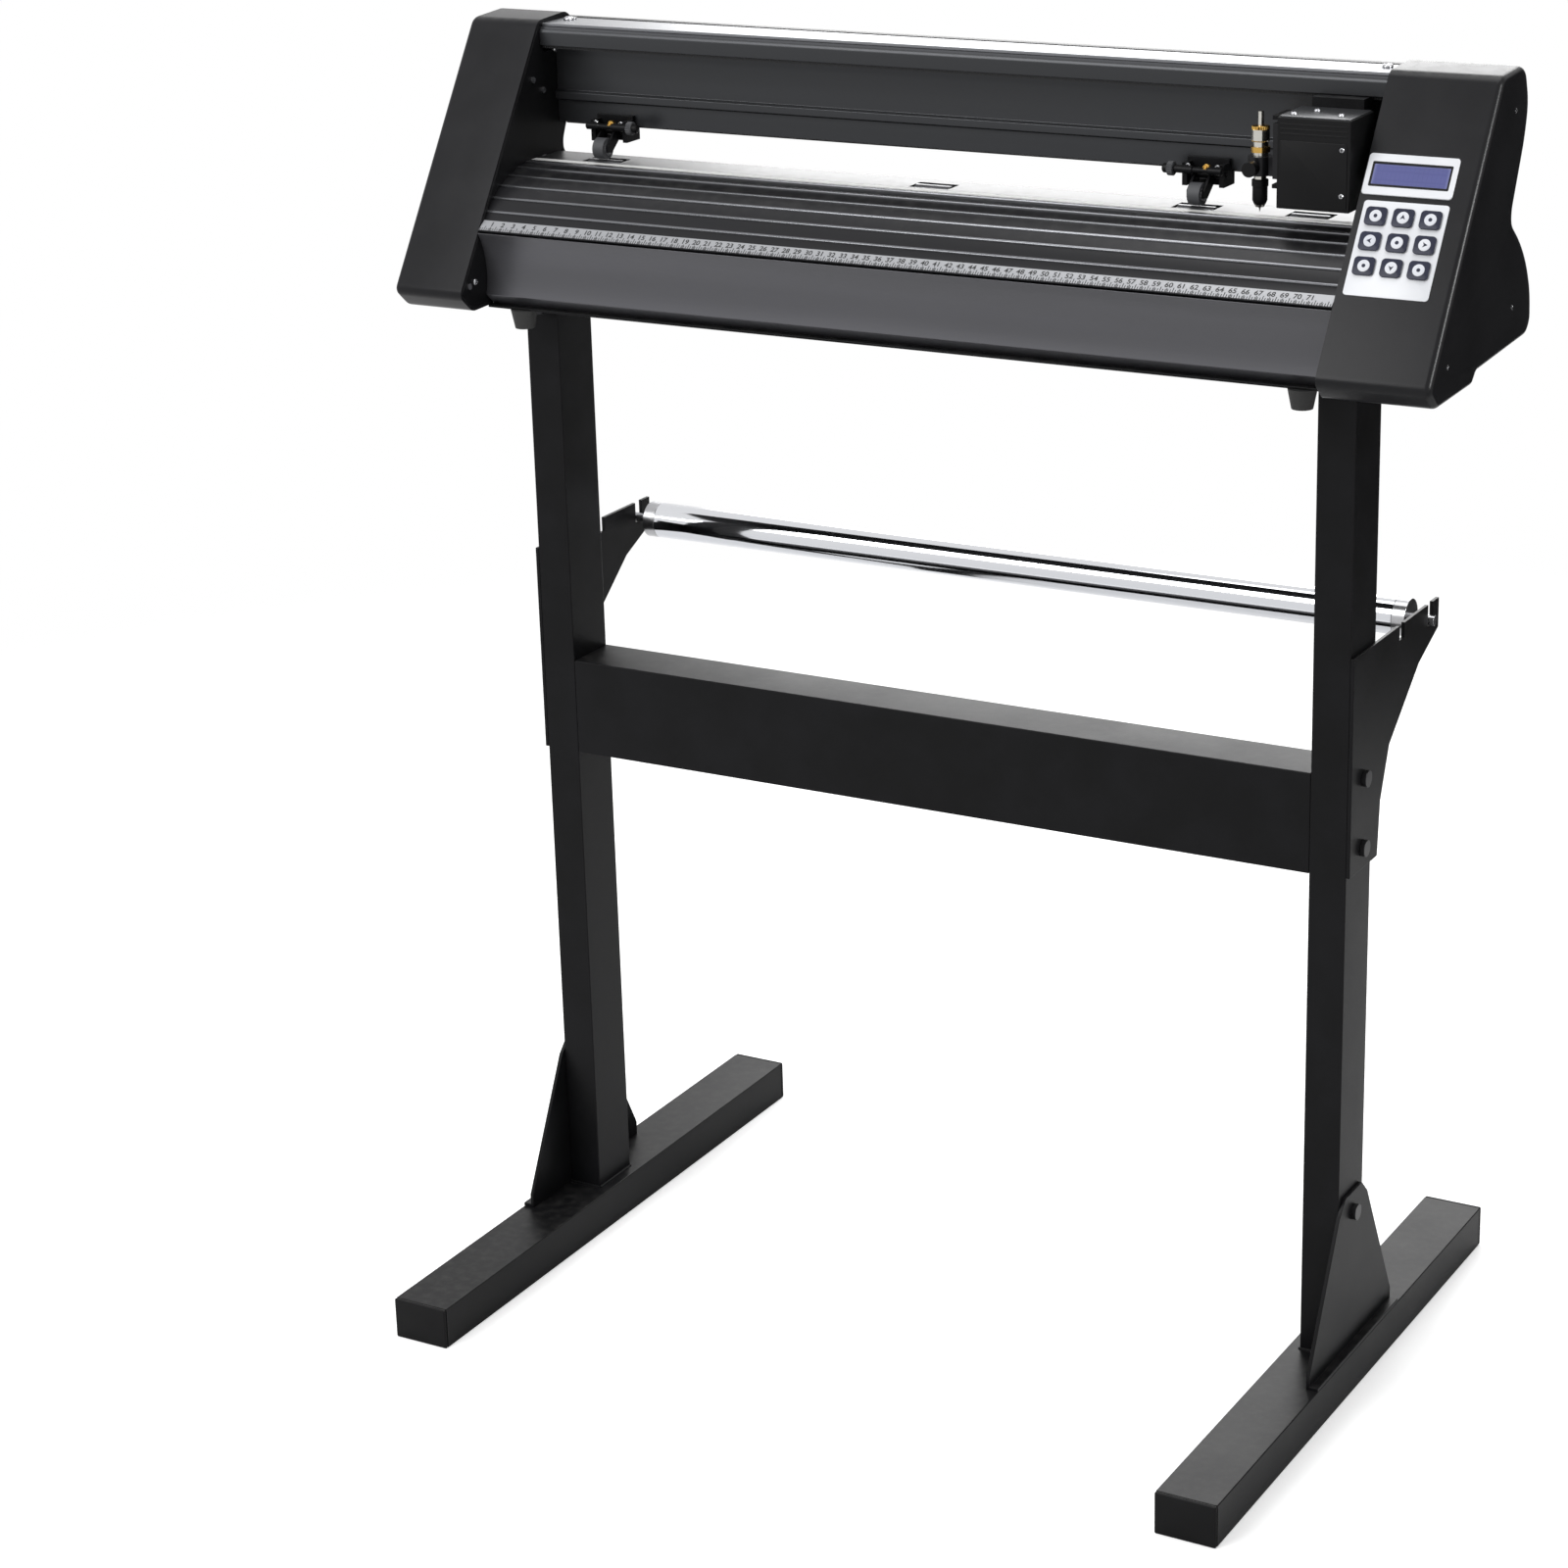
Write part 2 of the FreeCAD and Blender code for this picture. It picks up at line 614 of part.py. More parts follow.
def front_apron():
    """The big curved front below the ruler, with a foot folded in over the base plate."""
    gauge = S.base_gauge
    head_y = S.platen_edge_y - 1
    head = BASE + S.platen_edge_rise - S.apron_gap - 1
    toe = BASE + S.apron_toe_rise
    floor = BASE + gauge
    section = [(head_y, head, -S.apron_radius), (S.apron_toe_y, toe), (S.apron_toe_y + 9, floor),
               (S.apron_foot_y, floor), (S.apron_foot_y, floor + gauge), (S.apron_toe_y + 10, floor + gauge),
               (S.apron_toe_y + gauge, toe + 1, S.apron_radius - gauge), (head_y + gauge, head)]
    return extruded("apron_sheet", section, INNER_LEFT, INNER_RIGHT - INNER_LEFT)


def ruler_tape():
    """A thin printed tape on the sloped seat at the platen's front edge."""
    rise = S.platen_nose_rise.value - S.platen_edge_rise.value
    run = S.platen_nose_y.value - S.platen_edge_y.value
    tape = document.addObject("Part::Box", "tape")
    bind(tape, Length=INNER_RIGHT - INNER_LEFT - 1, Width=S.tape_width, Height=S.tape_gauge)
    slope = FreeCAD.Rotation(FreeCAD.Vector(1, 0, 0), math.degrees(math.atan2(rise, run)))
    place(tape, INNER_LEFT + 0.5, S.platen_edge_y + 0.6, BASE + S.platen_edge_rise + 0.43, slope)
    return tape


def rail_beam():
    """The hollow beam that the carriage runs on: a rounded lip above, a ridge below."""
    web = S.rail_web_y
    back = S.rail_back_y
    gauge = S.rail_gauge
    top = RAIL_TOP
    bottom = RAIL_BOTTOM
    ridge = BASE + S.rail_ridge_rise
    shoulder = BASE + S.rail_shoulder_rise
    lip = S.rail_lip_y
    section = [(web, bottom), (S.rail_heel_y, bottom), (back, shoulder), (back, top), (lip + 4, top, 6 * ONE),
               (lip, top - 5), (lip, top - S.rail_lip_drop), (lip + gauge, top - S.rail_lip_drop),
               (lip + gauge, top - gauge - 1), (web, top - gauge - 1), (web, ridge + S.rail_ridge_height),
               (web - S.rail_ridge, ridge + S.rail_ridge_height - 1), (web - S.rail_ridge, ridge + 1),
               (web, ridge)]
    beam = extruded("beam", section, INNER_LEFT, INNER_RIGHT - INNER_LEFT)
    hollow = block((INNER_LEFT - 1, INNER_RIGHT + 1), (web + gauge, back - gauge),
                   (shoulder, top - gauge))
    return cut(beam, hollow)


def rear_cover():
    """The thin moulded back over the beam, from the top strip down to the media slot."""
    gauge = S.rear_cover_gauge
    top = RAIL_TOP + 3
    waist = BASE + S.cover_waist_rise + 12
    bulge = BASE + S.cover_bulge_rise
    front = S.rear_cover_front
    section = [(front, top - gauge), (S.cover_crown_y + 5.5, top - gauge), (S.cover_bulge_y - 2 - gauge, bulge),
               (S.cover_bulge_y - 6 - gauge, bulge - 26), (S.cover_waist_y + 7 - gauge, waist),
               (S.cover_waist_y + 7, waist), (S.cover_bulge_y - 6, bulge - 26), (S.cover_bulge_y - 2, bulge),
               (S.cover_crown_y + 6.5, top), (front, top)]
    return extruded("rear_sheet", section, INNER_LEFT, INNER_RIGHT - INNER_LEFT)


def across(y_span, z_span, margin=0):
    """A bar between the side plates, set in by a margin at each end."""
    return block((INNER_LEFT + margin, INNER_RIGHT - margin), y_span, z_span)


def rubber_feet():
    """Four tapered rubber feet under the base plate."""
    feet = []
    for x in (S.rubber_foot_left_x, S.rubber_foot_right_x):
        for y in (S.rubber_foot_front_y, S.rubber_foot_back_y):
            feet.append(cone((x, y, BASE - S.rubber_foot_height), S.rubber_foot_tip, S.rubber_foot_radius,
                             S.rubber_foot_height))
    return group(*feet)


def housing_screws():
    """Small screw heads on the inner faces of both side plates and on the top strip."""
    heads = []
    spots = [(S.cover_brow_y - 12, BASE + 170), (S.cover_brow_y + 2, BASE + 160), (S.cover_toe_y + 14, BASE + 22)]
    for y, z in spots:
        heads.append(rod("X", (INNER_LEFT, y, z), 2.5, 1.5))
        heads.append(rod("X", (INNER_RIGHT - 1.5, y, z), 2.5, 1.5))
    strip_top = RAIL_TOP + S.top_strip_gauge
    for x in (INNER_LEFT + 14, INNER_RIGHT - 14):
        heads.append(rod("Z", (x, S.top_strip_front + 26, strip_top), 3, 1.5))
    return group(*heads)


def build_housing():
    """The machine's covers, plates, bed and beam."""
    outline = cover_outline()
    hollow = inset(outline, S.cover_wall)
    plate_outline = inset(outline, S.cover_wall + 0.2)
    finish(end_cover(outline, hollow, LEFT), "left_end_cover")
    finish(end_cover(outline, hollow, RIGHT), "right_end_cover")
    plates = [side_plate(plate_outline, side) for side in (LEFT, RIGHT)]
    finish(group(*plates, idler_bracket()), "side_plates")
    finish(base_plate(), "base_plate")
    finish(platen(), "platen")
    finish(front_apron(), "front_apron")
    finish(ruler_tape(), "ruler_tape")
    strip_span = (S.strip_front_y, S.strip_front_y + S.strip_width)
    finish(across(strip_span, (PLATEN_TOP - S.strip_gauge, PLATEN_TOP)), "cutting_strip")
    finish(rail_beam(), "rail_beam")
    finish(across((S.top_strip_front, S.rear_cover_front - 0.3), (RAIL_TOP, RAIL_TOP + S.top_strip_gauge)),
           "top_strip")
    finish(rear_cover(), "rear_cover")
    finish(rubber_feet(), "rubber_feet")
    finish(housing_screws(), "housing_screws")


# ---------------------------------------------------------------- Media feed

FEED_MOTOR_Z = BASE + S.feed_motor_rise
WINDOW_CENTRES = (S.grit_left_x, S.grit_middle_x, S.grit_right_x, S.grit_end_x)


def ring(axis, start, outer, inner, length):
    """A round tube with a bore right through it."""
    step = {"X": (1, 0, 0), "Y": (0, 1, 0), "Z": (0, 0, 1)}[axis]
    bore_start = [as_size(start[i]) - step[i] for i in range(3)]
    return cut(rod(axis, start, outer, length), rod(axis, bore_start, inner, length + 2))


def feed_shaft():
    """The steel shaft with its four grit-coated drums, from bearing to pulley."""
    start = INNER_LEFT - S.side_plate_gauge - S.bearing_width
    end = S.feed_pulley_x + S.pulley_width
    parts = [rod("X", (start, S.feed_shaft_y, GRIT_CENTRE), S.feed_shaft_radius, end - start)]
    for middle in WINDOW_CENTRES:
        parts.append(rod("X", (middle - S.grit_length / 2, S.feed_shaft_y, GRIT_CENTRE), S.grit_radius,
                         S.grit_length))
    return fuse(*parts)


def shaft_bearings():
    """A ball bearing in each side plate."""
    inner = S.feed_shaft_radius + S.running_clearance
    left = ring("X", (INNER_LEFT - S.bearing_width, S.feed_shaft_y, GRIT_CENTRE), S.bearing_radius, inner,
                S.bearing_width)
    right = ring("X", (INNER_RIGHT, S.feed_shaft_y, GRIT_CENTRE), S.bearing_radius, inner, S.bearing_width)
    return group(left, right)


def flanged_pulley(axis, centre, radius, bore):
    """A toothed pulley's drum between two flanges; it starts at the centre point given."""
    step = {"X": (1, 0, 0), "Y": (0, 1, 0), "Z": (0, 0, 1)}[axis]
    flange = S.pulley_flange
    far = [as_size(centre[i]) + step[i] * (S.pulley_width - flange) for i in range(3)]
    solid = fuse(rod(axis, centre, radius, S.pulley_width), rod(axis, centre, radius + 2.2, flange),
                 rod(axis, far, radius + 2.2, flange))
    if bore is None:
        return solid
    back = [as_size(centre[i]) - step[i] for i in range(3)]
    return cut(solid, rod(axis, back, bore, S.pulley_width + 2))


def stepper(axis, shaft_end, clearance_bore):
    """A square stepper motor whose shaft leaves along an axis from the point given."""
    size = S.motor_size
    x, y, z = [as_size(v) for v in shaft_end]
    if axis == "X":
        case = block((x - S.motor_length, x), centred(y, size), centred(z, size))
        bore = rod("X", (x - 6, y, z), clearance_bore, 8)
    else:
        case = block(centred(x, size), centred(y, size), (z - S.motor_length, z))
        bore = rod("Z", (x, y, z - 6), clearance_bore, 8)
    return cut(case, bore)


def feed_motor_rotor():
    """The feed motor's shaft and its small pulley."""
    shaft_start = INNER_RIGHT - 5.5
    end = S.feed_pulley_x + S.pulley_width
    shaft = rod("X", (shaft_start, S.feed_motor_y, FEED_MOTOR_Z), S.motor_shaft_radius, end - shaft_start)
    pulley = flanged_pulley("X", (S.feed_pulley_x, S.feed_motor_y, FEED_MOTOR_Z), S.motor_pulley_radius, None)
    return fuse(shaft, pulley)


def belt_wire(first, first_radius, second, second_radius):
    """The closed line round two circles of different size, in the XY plane."""
    span = second - first
    heading = math.atan2(span.y, span.x)
    lean = math.acos((first_radius - second_radius) / span.Length)

    def at(centre, radius, angle):
        return centre + FreeCAD.Vector(math.cos(angle), math.sin(angle), 0) * radius

    upper, lower = heading + lean, heading - lean
    a = at(first, first_radius, upper)
    b = at(first, first_radius, heading + math.pi)
    c = at(first, first_radius, lower)
    d = at(second, second_radius, lower)
    e = at(second, second_radius, heading)
    f = at(second, second_radius, upper)
    edges = [Part.Arc(a, b, c), Part.LineSegment(c, d), Part.Arc(d, e, f), Part.LineSegment(f, a)]
    return Part.Wire([edge.toShape() for edge in edges])


def belt(first, first_radius, second, second_radius, placement):
    """A toothed belt, a thin band just off both pulleys."""
    gap = 0.3
    gauge = S.belt_gauge.value
    outer = belt_wire(first, first_radius + gap + gauge, second, second_radius + gap + gauge)
    inner = belt_wire(first, first_radius + gap, second, second_radius + gap)
    face = Part.Face(outer).cut(Part.Face(inner))
    band = document.addObject("Part::Feature", "band")
    band.Shape = face.extrude(FreeCAD.Vector(0, 0, S.belt_width.value))
    band.Placement = placement
    return band


def feed_belt():
    """The belt from the feed motor up to the shaft's pulley."""
    first = FreeCAD.Vector(S.feed_shaft_y.value, GRIT_CENTRE.value, 0)
    second = FreeCAD.Vector(S.feed_motor_y.value, FEED_MOTOR_Z.value, 0)
    start = S.feed_pulley_x + (S.pulley_width - S.belt_width) / 2
    placement = FreeCAD.Placement(FreeCAD.Vector(start.value, 0, 0),
                                  FreeCAD.Rotation(FreeCAD.Vector(1, 1, 1), 120))
    return belt(first, S.feed_pulley_radius.value, second, S.motor_pulley_radius.value, placement)


# ---------------------------------------------------------------- Carriage drive

BELT_Z = BASE + S.belt_rise
PULLEY_LOW = BELT_Z - S.pulley_width / 2


def carriage_belt():
    """The long belt under the beam's lip."""
    first = FreeCAD.Vector(S.drive_pulley_x.value, S.belt_line_y.value, 0)
    second = FreeCAD.Vector(S.idler_pulley_x.value, S.belt_line_y.value, 0)
    low = BELT_Z - S.belt_width / 2
    placement = FreeCAD.Placement(FreeCAD.Vector(0, 0, low.value), UPRIGHT)
    return belt(first, S.belt_pulley_radius.value, second, S.belt_pulley_radius.value, placement)


def drive_pulley():
    """The driven pulley on its motor's shaft."""
    motor_top = PULLEY_LOW - 3
    shaft = rod("Z", (S.drive_pulley_x, S.belt_line_y, motor_top - 5.5), S.motor_shaft_radius, 6)
    neck = rod("Z", (S.drive_pulley_x, S.belt_line_y, motor_top + 0.3), S.motor_shaft_radius + 1, 2.8)
    return fuse(shaft, neck, flanged_pulley("Z", (S.drive_pulley_x, S.belt_line_y, PULLEY_LOW),
                                            S.belt_pulley_radius, None))


def idler_bracket():
    """An angle on the left side plate with the pin that the idler turns on."""
    outer_face = INNER_LEFT - S.side_plate_gauge
    shelf_top = PULLEY_LOW - 0.3
    shelf = block((S.idler_pulley_x - 9, outer_face), centred(S.belt_line_y, 20), (shelf_top - 3, shelf_top))
    leg = block((outer_face - 3, outer_face), centred(S.belt_line_y, 20), (shelf_top - 20, shelf_top))
    pin = rod("Z", (S.idler_pulley_x, S.belt_line_y, shelf_top - 1), 2.5, S.pulley_width + 4)
    return fuse(shelf, leg, pin)


def build_drives():
    """Both belt drives."""
    wheel = flanged_pulley("X", (S.feed_pulley_x, S.feed_shaft_y, GRIT_CENTRE), S.feed_pulley_radius,
                           S.feed_shaft_radius)
    finish(group(feed_shaft(), wheel), "feed_shaft")
    finish(shaft_bearings(), "shaft_bearings")
    hole = S.motor_shaft_radius + S.running_clearance
    motors = [stepper("X", (INNER_RIGHT, S.feed_motor_y, FEED_MOTOR_Z), hole),
              stepper("Z", (S.drive_pulley_x, S.belt_line_y, PULLEY_LOW - 3), hole)]
    finish(group(*motors), "stepper_motors")
    finish(feed_motor_rotor(), "feed_motor_pulley")
    finish(drive_pulley(), "belt_drive_pulley")
    idler_bore = 2.5 + S.running_clearance
    finish(flanged_pulley("Z", (S.idler_pulley_x, S.belt_line_y, PULLEY_LOW), S.belt_pulley_radius, idler_bore),
           "belt_idler_pulley")
    finish(group(feed_belt(), carriage_belt()), "drive_belts")


# ---------------------------------------------------------------- Pinch rollers

PIVOT_Z = BASE + S.pinch_pivot_rise
WHEEL_Z = PLATEN_TOP + S.grit_stand_up + S.pinch_wheel_radius + 0.3


def pinch_bracket(x):
    """The block that slides along the beam's web, with two ears, a pivot pin and its torsion spring."""
    face = S.rail_web_y - 0.3
    half = S.pinch_body_width / 2
    back = block((x - half, x + half), (S.pinch_pivot_y + 4.8, face), (PIVOT_Z - 9, PIVOT_Z + 11))
    foot = block((x - half, x + half), (S.pinch_pivot_y + 4.8, S.rail_heel_y), (PIVOT_Z - 9, RAIL_BOTTOM - 0.3))
    ears = [block((x + low, x + low + 4), (S.pinch_pivot_y - 5, face), (PIVOT_Z - 9, PIVOT_Z + 8))
            for low in (half - 4, -half)]
    pin = rod("X", (x - half - 1, S.pinch_pivot_y, PIVOT_Z), S.pinch_pin_radius, half * 2 + 2)
    coils = []
    for turn in (9.0, 10.2, 11.4, -9.0, -10.2, -11.4):
        coil = document.addObject("Part::Torus", "coil")
        bind(coil, Radius1=S.pinch_pin_radius + 0.8, Radius2=0.5)
        place(coil, x + turn, S.pinch_pivot_y, PIVOT_Z, TURN_TO_X)
        coils.append(coil)
    return group(fuse(back, foot, *ears, pin), *coils)


def pinch_arm(x):
    """The rocking arm: a hub on the pivot pin and two cheeks that hold the wheel's axle."""
    y_near = S.feed_shaft_y
    low = WHEEL_Z
    outline = [(y_near - 3.5, low - 2.5), (y_near + 2.5, low - 3.5), (S.pinch_pivot_y + 3.5, PIVOT_Z - 3.5),
               (S.pinch_pivot_y + 3.5, PIVOT_Z + 4), (S.pinch_pivot_y - 3, PIVOT_Z + 4), (y_near - 3.5, low + 3)]
    cheek_gap = S.pinch_wheel_width / 2 + 0.4
    cheeks = [extruded("cheek", outline, x + start, as_size(1.8)) for start in (cheek_gap, -cheek_gap - 1.8)]
    hub = rod("X", (x - cheek_gap, S.pinch_pivot_y, PIVOT_Z), 4, cheek_gap * 2)
    axle = rod("X", (x - cheek_gap, S.feed_shaft_y, WHEEL_Z), 1.5, cheek_gap * 2)
    bore = rod("X", (x - 20, S.pinch_pivot_y, PIVOT_Z), S.pinch_pin_radius + S.running_clearance, as_size(40))
    return cut(fuse(hub, axle, *cheeks), bore)


def pinch_wheel(x):
    """The rubber-faced wheel on the arm's axle."""
    start = x - S.pinch_wheel_width / 2
    return ring("X", (start, S.feed_shaft_y, WHEEL_Z), S.pinch_wheel_radius, 1.5 + S.running_clearance,
                S.pinch_wheel_width)


def build_pinch_rollers():
    """A pinch unit near each edge of the media."""
    for side, x in (("left", S.pinch_left_x), ("right", S.pinch_right_x)):
        finish(pinch_bracket(x), side + "_pinch_bracket")
        finish(pinch_arm(x), side + "_pinch_arm")
        finish(pinch_wheel(x), side + "_pinch_wheel")


# ---------------------------------------------------------------- Carriage and tool

CARRIAGE_RIGHT = S.carriage_left_x + S.carriage_width
CARRIAGE_LOW = BASE + S.carriage_rise
CARRIAGE_HIGH = CARRIAGE_LOW + S.carriage_height
COVER_BACK = as_size(27)
FRAME_BACK = COVER_BACK + 6.3
FRAME_LOW = CARRIAGE_LOW + 9
FRAME_HIGH = CARRIAGE_HIGH - 4
ROD_X = S.carriage_left_x - 8
ROD_YS = (COVER_BACK - 15, COVER_BACK - 3)
TOOL = (S.tool_x, S.tool_y)


def carriage_frame():
    """The plate behind the cover, its shoes on the beam, the belt clamp, guide rods and lift coil."""
    left = ROD_X - 6
    right = CARRIAGE_RIGHT - 3
    plate = block((left, right), (COVER_BACK + 0.3, FRAME_BACK), (FRAME_LOW, FRAME_HIGH))
    ridge_low = BASE + S.rail_ridge_rise
    ridge_high = ridge_low + S.rail_ridge_height
    shoe_span = (S.carriage_left_x + 8, CARRIAGE_RIGHT - 8)
    shoe = block(shoe_span, (FRAME_BACK, S.rail_web_y - 0.3), (ridge_low - 4.5, ridge_high + 4.5))
    groove = block((shoe_span[0] - 1, shoe_span[1] + 1), (S.rail_web_y - S.rail_ridge - 0.3, S.rail_web_y + 1),
                   (ridge_low - 0.3, ridge_high + 0.3))
    lip_bottom = RAIL_TOP - S.rail_lip_drop
    upper = block(shoe_span, (COVER_BACK + 0.3, S.rail_lip_y + S.rail_gauge + 2.6),
                  (FRAME_HIGH - 4, lip_bottom - 0.3))
    clamp = block(shoe_span, (S.rail_lip_y + S.rail_gauge + 0.3, S.rail_lip_y + S.rail_gauge + 2.6),
                  (lip_bottom - 3, BELT_Z + 3))
    lugs = [block((left, ROD_X + 6), (ROD_YS[0] - 5, COVER_BACK + 0.3), span)
            for span in ((FRAME_LOW, FRAME_LOW + 3), (FRAME_HIGH - 3, FRAME_HIGH))]
    rods = [rod("Z", (ROD_X, y, FRAME_LOW), 2, FRAME_HIGH - FRAME_LOW) for y in ROD_YS]
    coil_x = S.carriage_left_x + S.carriage_width / 2
    shelf = block(centred(coil_x, 26), (COVER_BACK - 24, COVER_BACK + 0.3), (FRAME_LOW + 6, FRAME_LOW + 9))
    solid = fuse(cut(shoe, groove), plate, upper, clamp, *lugs, *rods, shelf)
    coil = rod("Z", (coil_x, COVER_BACK - 12, FRAME_LOW + 9), 10, 24)
    return group(solid, coil)


def carriage_cover():
    """The moulded box over the carriage, open at the back."""
    gauge = S.carriage_cover_gauge
    outer = block((S.carriage_left_x, CARRIAGE_RIGHT), (S.carriage_front_y, COVER_BACK),
                  (CARRIAGE_LOW, CARRIAGE_HIGH))
    inner = block((S.carriage_left_x + gauge, CARRIAGE_RIGHT - gauge), (S.carriage_front_y + gauge, COVER_BACK + 1),
                  (CARRIAGE_LOW + gauge, CARRIAGE_HIGH - gauge))
    return cut(outer, inner)


def lift_block():
    """The block that rises and falls on the guide rods, with the tool clamp and the lower guide."""
    low = FRAME_LOW + 3 + S.lift_travel + 0.6
    high = FRAME_HIGH - 6
    body = block((ROD_X - 6, ROD_X + 5.5), (ROD_YS[0] - 4, COVER_BACK), (low, high))
    bores = [rod("Z", (ROD_X, y, low - 1), 2 + S.running_clearance, high - low + 2) for y in ROD_YS]
    arm = block((S.tool_x, ROD_X - 5), (S.tool_y - 4, S.tool_y + 4), (low, low + 14))
    collar = rod("Z", (TOOL[0], TOOL[1], low), S.holder_radius + 3.3, 14)
    tool_bore = rod("Z", (TOOL[0], TOOL[1], low - 1), S.holder_radius, as_size(16))
    return cut(fuse(body, arm, collar), tool_bore, *bores)


def holder_outline():
    """Radius and height of the blade holder above its foot."""
    body = S.holder_radius
    return [(1.2, 0), (3.2, 0), (4.6, 3), (4.6, 24), (body, 26), (body, 48), (body + 1, 49), (body + 1, 57),
            (body - 1.5, 58), (2.2, 59), (2.2, 70), (1.2, 70)]


def tool_foot():
    """Height of the blade holder's foot above the floor, with the tool raised."""
    return PLATEN_TOP + S.lift_travel + 4


def blade_holder():
    """The turned blade holder, hollow for the blade's shank."""
    return turned("holder", holder_outline(), (TOOL[0], TOOL[1], tool_foot()))


def depth_ring():
    """The brass ring that sets how far the blade stands out."""
    low = tool_foot() + 40.4
    return ring("Z", (TOOL[0], TOOL[1], low), S.holder_radius + 1.4, S.holder_radius + S.running_clearance, 4)


def blade():
    """The swivel blade: a pin with a pointed tip."""
    foot = tool_foot()
    shank = rod("Z", (TOOL[0], TOOL[1], foot), 1.2 - S.running_clearance, as_size(30))
    tip = cone((TOOL[0], TOOL[1], foot - 3.6), 0.15, 1.0, 3.6)
    return fuse(shank, tip)


def clamp_screw():
    """The thumb screw in front of the tool clamp."""
    z = FRAME_LOW + 3 + S.lift_travel + 7.6
    front = S.tool_y - S.holder_radius - 3.3
    knob = rod("Y", (S.tool_x, front - 13, z), 5.5, as_size(8))
    neck = rod("Y", (S.tool_x, front - 5, z), 2, as_size(4.8))
    return fuse(knob, neck)


def build_carriage():
    """The carriage and everything it carries."""
    finish(carriage_frame(), "carriage_frame")
    finish(carriage_cover(), "carriage_cover")
    finish(lift_block(), "lift_block")
    finish(blade_holder(), "blade_holder")
    finish(depth_ring(), "depth_ring")
    finish(blade(), "blade")
    finish(clamp_screw(), "clamp_screw")


# ---------------------------------------------------------------- Panel on the right cover

SLOPE_RUN = S.cover_brow_y.value - S.cover_toe_y.value
SLOPE_RISE = S.cover_height.value - 2 - S.cover_toe_rise.value
SLOPE_ANGLE = math.degrees(math.atan2(SLOPE_RISE, SLOPE_RUN))
SLOPE_COS = math.cos(math.radians(SLOPE_ANGLE))
SLOPE_SIN = math.sin(math.radians(SLOPE_ANGLE))
ON_SLOPE = FreeCAD.Rotation(FreeCAD.Vector(1, 0, 0), SLOPE_ANGLE)


def slope_block(x_span, slope_span, out_span):
    """A box on the sloped face: bounds across, up the slope, and out from the face."""
    box = document.addObject("Part::Box", "slope_block")
    up, out = as_size(slope_span[0]), as_size(out_span[0])
    bind(box, Length=x_span[1] - x_span[0], Width=slope_span[1] - up, Height=out_span[1] - out)
    place(box, x_span[0], S.cover_toe_y + up * SLOPE_COS - out * SLOPE_SIN,
          BASE + S.cover_toe_rise + up * SLOPE_SIN + out * SLOPE_COS, ON_SLOPE)
    return box


def key_centre(column, row):
    """Where a key's middle lies, across and up the slope."""
    return S.bezel_x + 2 + S.key_pitch_x * (column - 1), S.key_top_slope - S.key_pitch_slope * row


def key_block(column, row, margin, out_span):
    """A key-sized box with a margin all round."""
    x, slope = key_centre(column, row)
    return slope_block(centred(x, S.key_width + margin * 2), centred(slope, S.key_height + margin * 2), out_span)


def build_panel():
    """Display, keypad and keys."""
    bezel = slope_block(centred(S.bezel_x, S.bezel_width), centred(S.bezel_slope, S.bezel_height),
                        (as_size(0), S.panel_gauge))
    glass_span = centred(S.bezel_x, S.screen_width)
    glass_slope = centred(S.bezel_slope, S.screen_height)
    finish(cut(bezel, slope_block(glass_span, glass_slope, (as_size(-1), S.panel_gauge + 1))), "display_bezel")
    finish(slope_block(glass_span, glass_slope, (as_size(0), S.panel_gauge - 0.3)), "display_window")
    plate = slope_block(centred(S.bezel_x + 2, S.keypad_width), centred(S.keypad_slope, S.keypad_height),
                        (as_size(0), S.panel_gauge))
    openings = []
    for row in range(3):
        for column in range(3):
            openings.append(key_block(column, row, S.key_clearance, (as_size(-1), S.panel_gauge + 1)))
    finish(cut(plate, *openings), "keypad_panel")
    for row in range(3):
        for column in range(3):
            low = S.key_travel + 0.1
            finish(key_block(column, row, as_size(0), (low, low + S.key_gauge)), "key_%d" % (row * 3 + column + 1))


# ---------------------------------------------------------------- Electrics

SOCKET_Y = 10
SOCKET_Z = BASE + 46


def socket_boxes(margin, depth):
    """The mains inlet, the two data sockets and the switch frame in the left cover's outer wall."""
    start = -HALF_WIDTH
    spots = [(SOCKET_Y, 28, 0, 21), (SOCKET_Y - 44, 13, 6, 12), (SOCKET_Y - 68, 12, 6, 11)]
    return [block((start - margin, start + depth), centred(as_size(y), as_size(wide) + margin * 2),
                  centred(SOCKET_Z + up, as_size(high) + margin * 2)) for y, wide, up, high in spots]


def switch_hole():
    """The hole in the cover for the switch's frame."""
    start = -HALF_WIDTH
    return block((start - 1, start + 20), centred(as_size(SOCKET_Y + 32), as_size(15.4)),
                 centred(SOCKET_Z, as_size(21.4)))


def switch_frame():
    """The rocker switch's frame, flush in the cover's outer wall."""
    start = -HALF_WIDTH
    outer = block((start, start + 14), centred(as_size(SOCKET_Y + 32), as_size(15)),
                  centred(SOCKET_Z, as_size(21)))
    well = block((start - 1, start + 12), centred(as_size(SOCKET_Y + 32), as_size(11)),
                 centred(SOCKET_Z, as_size(17)))
    return cut(outer, well)


def rocker():
    """The switch's rocker, a hair inside its frame, on the round pivot that it rocks about."""
    start = -HALF_WIDTH
    wide = as_size(10.2)
    middle = as_size(SOCKET_Y + 32)
    pad = block((start + 1.8, start + 7), centred(middle, wide), centred(SOCKET_Z, as_size(14.6)))
    pivot = rod("Y", (start + 7, middle - wide / 2, SOCKET_Z), as_size(1.5), wide)
    return fuse(pad, pivot)


